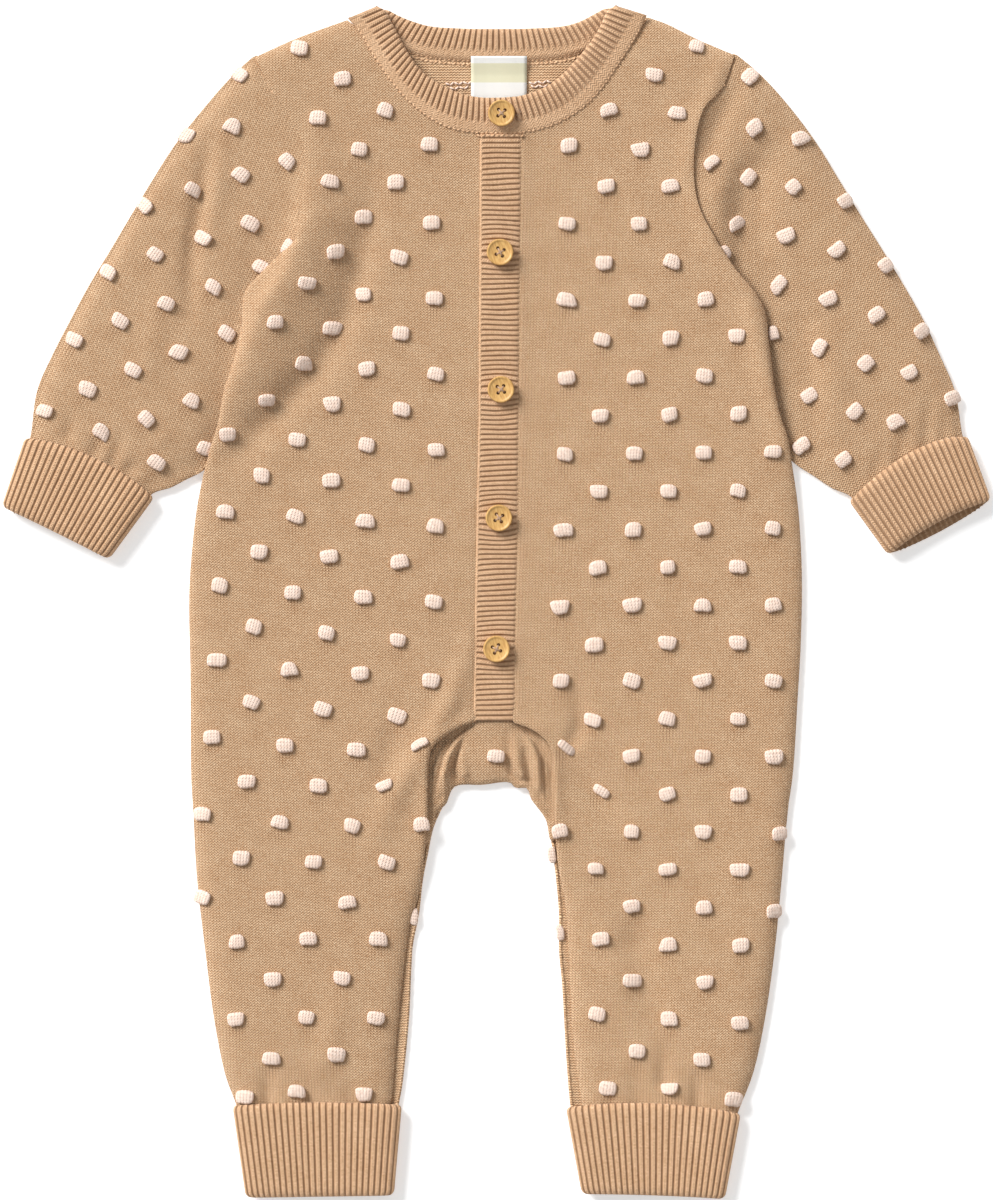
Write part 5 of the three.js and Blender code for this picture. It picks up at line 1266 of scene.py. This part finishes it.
def make_placket():
    bottom, top = PLACKET_EDGE[0][0] - 0.6, PLACKET_EDGE[-1][0] + 2.6
    count = PLACKET_RIBS * RIB_SAMPLES
    k = np.arange(count + 1) / RIB_SAMPLES
    y = bottom + (top - bottom) * k / PLACKET_RIBS
    left, right = look_up(y, 1), look_up(y, 2)
    profile = smooth_profile(PLACKET_PROFILE, 3)
    deep = np.repeat(profile[:, 3:4], count + 1, 1)
    points = np.empty((len(profile), count + 1, 3))
    uv = np.empty((len(profile), count + 1, 2))
    for row, (share, z, rib, _) in enumerate(profile):
        tilt = 0.9 * (share - 0.5) * (0.5 + 0.5 * np.sin(y / 37 + 0.6))
        wander = 0.3 * np.sin(y / 5.3 + share * 4) * np.sin(y / 17)
        x = left + (right - left) * share
        for bx, by, _ in BUTTONS[1:]:
            wander -= 0.32 * (y - by) * np.exp(-((x - bx) ** 2 + (y - by) ** 2) / 80)
            wander += 0.9 * (share - 0.6) * np.exp(-(((y - by - 3) / 9) ** 2))
        phase = k + (wander - tilt) / PLACKET_RIB_SPACE
        dip = 0.7 * np.exp(-((top - y) / 2.2)) + 0.3 * np.exp(-((y - bottom) / 1.5))
        level = z - PLACKET_RIB_DEPTH * rib * (1 - rib_rise(phase)) - dip
        points[row] = np.column_stack([x, y, level])
        uv[row] = np.column_stack([phase, np.full(count + 1, share * PLACKET_WIDTH)])
    values = {"deep": deep}
    return grid_piece("placket_rib", points, uv, RIBBING, "placket", values=values, turn=True)


placket = make_placket()
UNDER_LEFT, UNDER_INSET, UNDER_LEVEL = -14, 1.5, 2.1 + CLOTH  # the lower band's place
share, y = np.meshgrid(np.linspace(0, 1, 6), np.linspace(PLACKET_EDGE[0][0] + 4, PLACKET_EDGE[-1][0], 60))
x = UNDER_LEFT + (look_up(y, 2) - UNDER_INSET - UNDER_LEFT) * share
points = np.dstack([x, y, np.full(x.shape, UNDER_LEVEL)])
uv = np.dstack([y / PLACKET_RIB_SPACE, x])
values = {"deep": np.ones(x.shape)}
placket_under = grid_piece(
    "placket_under_rib", points, uv, RIBBING, "placket_under", values=values
)
for piece, wall in ((neck_front, 1.2), (neck_back, 1.2), (placket, 1.2), (placket_under, CLOTH - 0.1)):
    thicken(piece, wall)

# Buttons
BUTTON_PROFILE = [  # radius, height
    (0.0, 0.2), (4.7, 0.0), (5.4, 0.35), (5.85, 1.0), (6.0, 1.7), (5.95, 2.3), (5.75, 2.65), (5.45, 2.75),
    (5.15, 2.65), (4.85, 2.4), (4.4, 2.25), (0.0, 2.1),
]
HOLE_REACH, HOLE = 2.05, 0.78  # how far out the holes are, and their radius
BUTTON_TURNS = [-0.1, -0.27, 0.12, -0.2, 0.35]


def make_button(number, place, turn):
    """A turned disc with four holes, lying slightly aslant."""
    bm = bmesh.new()
    line = [bm.verts.new((r, 0, h)) for r, h in BUTTON_PROFILE]
    edges = [bm.edges.new(pair) for pair in zip(line, line[1:])]
    around = {"cent": (0, 0, 0), "axis": (0, 0, 1), "angle": 2 * math.pi, "steps": 48}
    bmesh.ops.spin(bm, geom=line + edges, use_merge=True, **around)
    bmesh.ops.remove_doubles(bm, verts=bm.verts[:], dist=0.001)
    bmesh.ops.recalc_face_normals(bm, faces=bm.faces[:])
    disc = bpy.data.meshes.new("disc")
    bm.to_mesh(disc)
    bm.free()
    pins = bmesh.new()
    for k in range(4):
        angle = math.pi * (0.25 + k / 2)
        at = Matrix.Translation((HOLE_REACH * math.cos(angle), HOLE_REACH * math.sin(angle), 1.2))
        form = {"segments": 14, "radius1": HOLE, "radius2": HOLE, "depth": 8}
        bmesh.ops.create_cone(pins, cap_ends=True, matrix=at, **form)
    pin_mesh = bpy.data.meshes.new("pins")
    pins.to_mesh(pin_mesh)
    pins.free()
    blank = bpy.data.objects.new("blank", disc)
    cutter = bpy.data.objects.new("cutter", pin_mesh)
    for o in (blank, cutter):
        bpy.context.scene.collection.objects.link(o)
    cut = blank.modifiers.new("holes", "BOOLEAN")
    cut.operation, cut.object, cut.solver = "DIFFERENCE", cutter, "EXACT"
    finished = blank.evaluated_get(bpy.context.evaluated_depsgraph_get())
    made = bpy.data.meshes.new_from_object(finished)
    for o in (blank, cutter):
        bpy.data.objects.remove(o)
    lean = math.radians(1.5 * math.sin(number * 2.1)), math.radians(1.2 * math.cos(number))
    tilt = Euler((*lean, turn)).to_matrix()
    made.transform(Matrix.Translation(Vector(place) * MM) @ (tilt.to_4x4() @ Matrix.Scale(MM, 4)))
    made.materials.clear()
    node = f"button_{number}"
    finish_mesh(node + "_wood", made, WOOD, node)
    made.set_sharp_from_angle(angle=math.radians(40))


for number, (place, turn) in enumerate(zip(BUTTONS, BUTTON_TURNS), 1):
    make_button(number, place, turn)


def strand(name, paths, radius, material):
    """Round strands along paths, as one mesh."""
    sides = 6
    bm = bmesh.new()
    for path in paths:
        path = np.array(path, float)
        rings = []
        for k, p in enumerate(path):
            ahead = path[min(k + 1, len(path) - 1)] - path[max(k - 1, 0)]
            turn = Vector((0, 0, 1)).rotation_difference(Vector(ahead)).to_matrix().to_4x4()
            at = Matrix.Translation(Vector(p * MM)) @ turn
            made = bmesh.ops.create_circle(bm, segments=sides, radius=radius * MM, matrix=at)
            rings.append(made["verts"])
        for low, high in zip(rings, rings[1:]):
            for a in range(sides):
                b = (a + 1) % sides
                bm.faces.new((low[a], low[b], high[b], high[a]))
        for ring in (rings[0][::-1], rings[-1]):
            bm.faces.new(ring)
    bmesh.ops.recalc_face_normals(bm, faces=bm.faces[:])
    mesh = bpy.data.meshes.new(name)
    bm.to_mesh(mesh)
    bm.free()
    finish_mesh(name, mesh, material)


THREAD_LOW, THREAD_HIGH, THREAD_CROSS = 1.4, 0.95, 0.25  # height in the holes, arch over them, second arch
THREAD_ASIDE = 0.18  # half the distance between two parallel threads
sewing = []
for (x, y, z), turn in zip(BUTTONS, BUTTON_TURNS):
    for diagonal in (0, 1):
        angle = turn + math.pi * (0.25 + diagonal / 2)
        ax, ay = math.cos(angle), math.sin(angle)
        for aside in (-THREAD_ASIDE, THREAD_ASIDE):
            path = []
            for t in np.linspace(-1, 1, 9):
                rise = THREAD_LOW + (THREAD_HIGH + THREAD_CROSS * diagonal) * (1 - abs(t) ** 3)
                reach, off = HOLE_REACH * t, aside * (1 - 0.4 * abs(t))
                path.append((x + ax * reach - ay * off, y + ay * reach + ax * off, z + rise))
            sewing.append(path)
sewing += [  # loose ends beside the top button
    [(8.2, 218.4, 7.6), (9.6, 217.8, 8.1), (10.8, 219.4, 8.0), (10.2, 221.2, 7.8), (9.0, 220.6, 7.7)],
    [(8.4, 217.2, 7.6), (9.9, 215.8, 8.0), (11.2, 215.9, 7.5)],
]
strand("button_thread", sewing, 0.2, THREAD)

# Neck label
LABEL_LEFT, LABEL_RIGHT, LABEL_TOP, LABEL_BOTTOM = -11.5, 13.7, 245, 224
x, y = np.meshgrid(np.linspace(LABEL_LEFT, LABEL_RIGHT, 16), np.linspace(LABEL_TOP, LABEL_BOTTOM, 22))
z = np.interp(y, [222, 237, 241.5, 245], [2.5, 2.6, 3.4, 4.0]) + 0.15 * np.sin(x / 4)
points = np.dstack([x, y, z])
uv = np.dstack([x - LABEL_LEFT, LABEL_TOP - y])
neck_label = grid_piece("neck_label_tape", points, uv, TAPE, "neck_label", turn=True)
thicken(neck_label, 0.35)

# Floor, light and camera
bm = bmesh.new()
bmesh.ops.create_grid(bm, x_segments=1, y_segments=1, size=3, matrix=Matrix.Translation((0, 0, -0.0003)))
floor_mesh = bpy.data.meshes.new("floor")
bm.to_mesh(floor_mesh)
bm.free()
floor = bpy.data.objects.new("floor", floor_mesh)
bpy.context.scene.collection.objects.link(floor)
floor_look = Look("pale_floor", roughness=0.9)
floor_look.shader.inputs["Base Color"].default_value = (0.93, 0.93, 0.93, 1)
floor_look.shader.inputs["Emission Color"].default_value = (1, 1, 1, 1)
floor_look.shader.inputs["Emission Strength"].default_value = 0.34
floor_mesh.materials.append(floor_look.material)

world = bpy.data.worlds.new("studio")
world.use_nodes = True
world.node_tree.nodes["Background"].inputs["Color"].default_value = (1, 1, 1, 1)
world.node_tree.nodes["Background"].inputs["Strength"].default_value = 0.38
bpy.context.scene.world = world


def lamp(name, direction, strength, spread):
    light = bpy.data.lights.new(name, "SUN")
    light.energy, light.angle = strength, math.radians(spread)
    holder = bpy.data.objects.new(name, light)
    holder.rotation_euler = (-Vector(direction)).to_track_quat("-Z", "Y").to_euler()
    bpy.context.scene.collection.objects.link(holder)


lamp("key", (-0.72, 0.7, 0.6), 4.6, 28)
lamp("fill", (0.8, -0.5, 1.3), 0.3, 60)

CAMERA_HEIGHT, LENS, SENSOR = 2.404, 160.0, 36.0
CAMERA_UP = 0.000225  # half a pixel of the photograph, in metres
camera_data = bpy.data.cameras.new("camera")
camera_data.sensor_width, camera_data.lens = SENSOR, LENS
camera = bpy.data.objects.new("camera", camera_data)
camera.location = (0, CAMERA_UP, CAMERA_HEIGHT)
bpy.context.scene.collection.objects.link(camera)
bpy.context.scene.camera = camera
bpy.context.scene.view_settings.view_transform = "Standard"
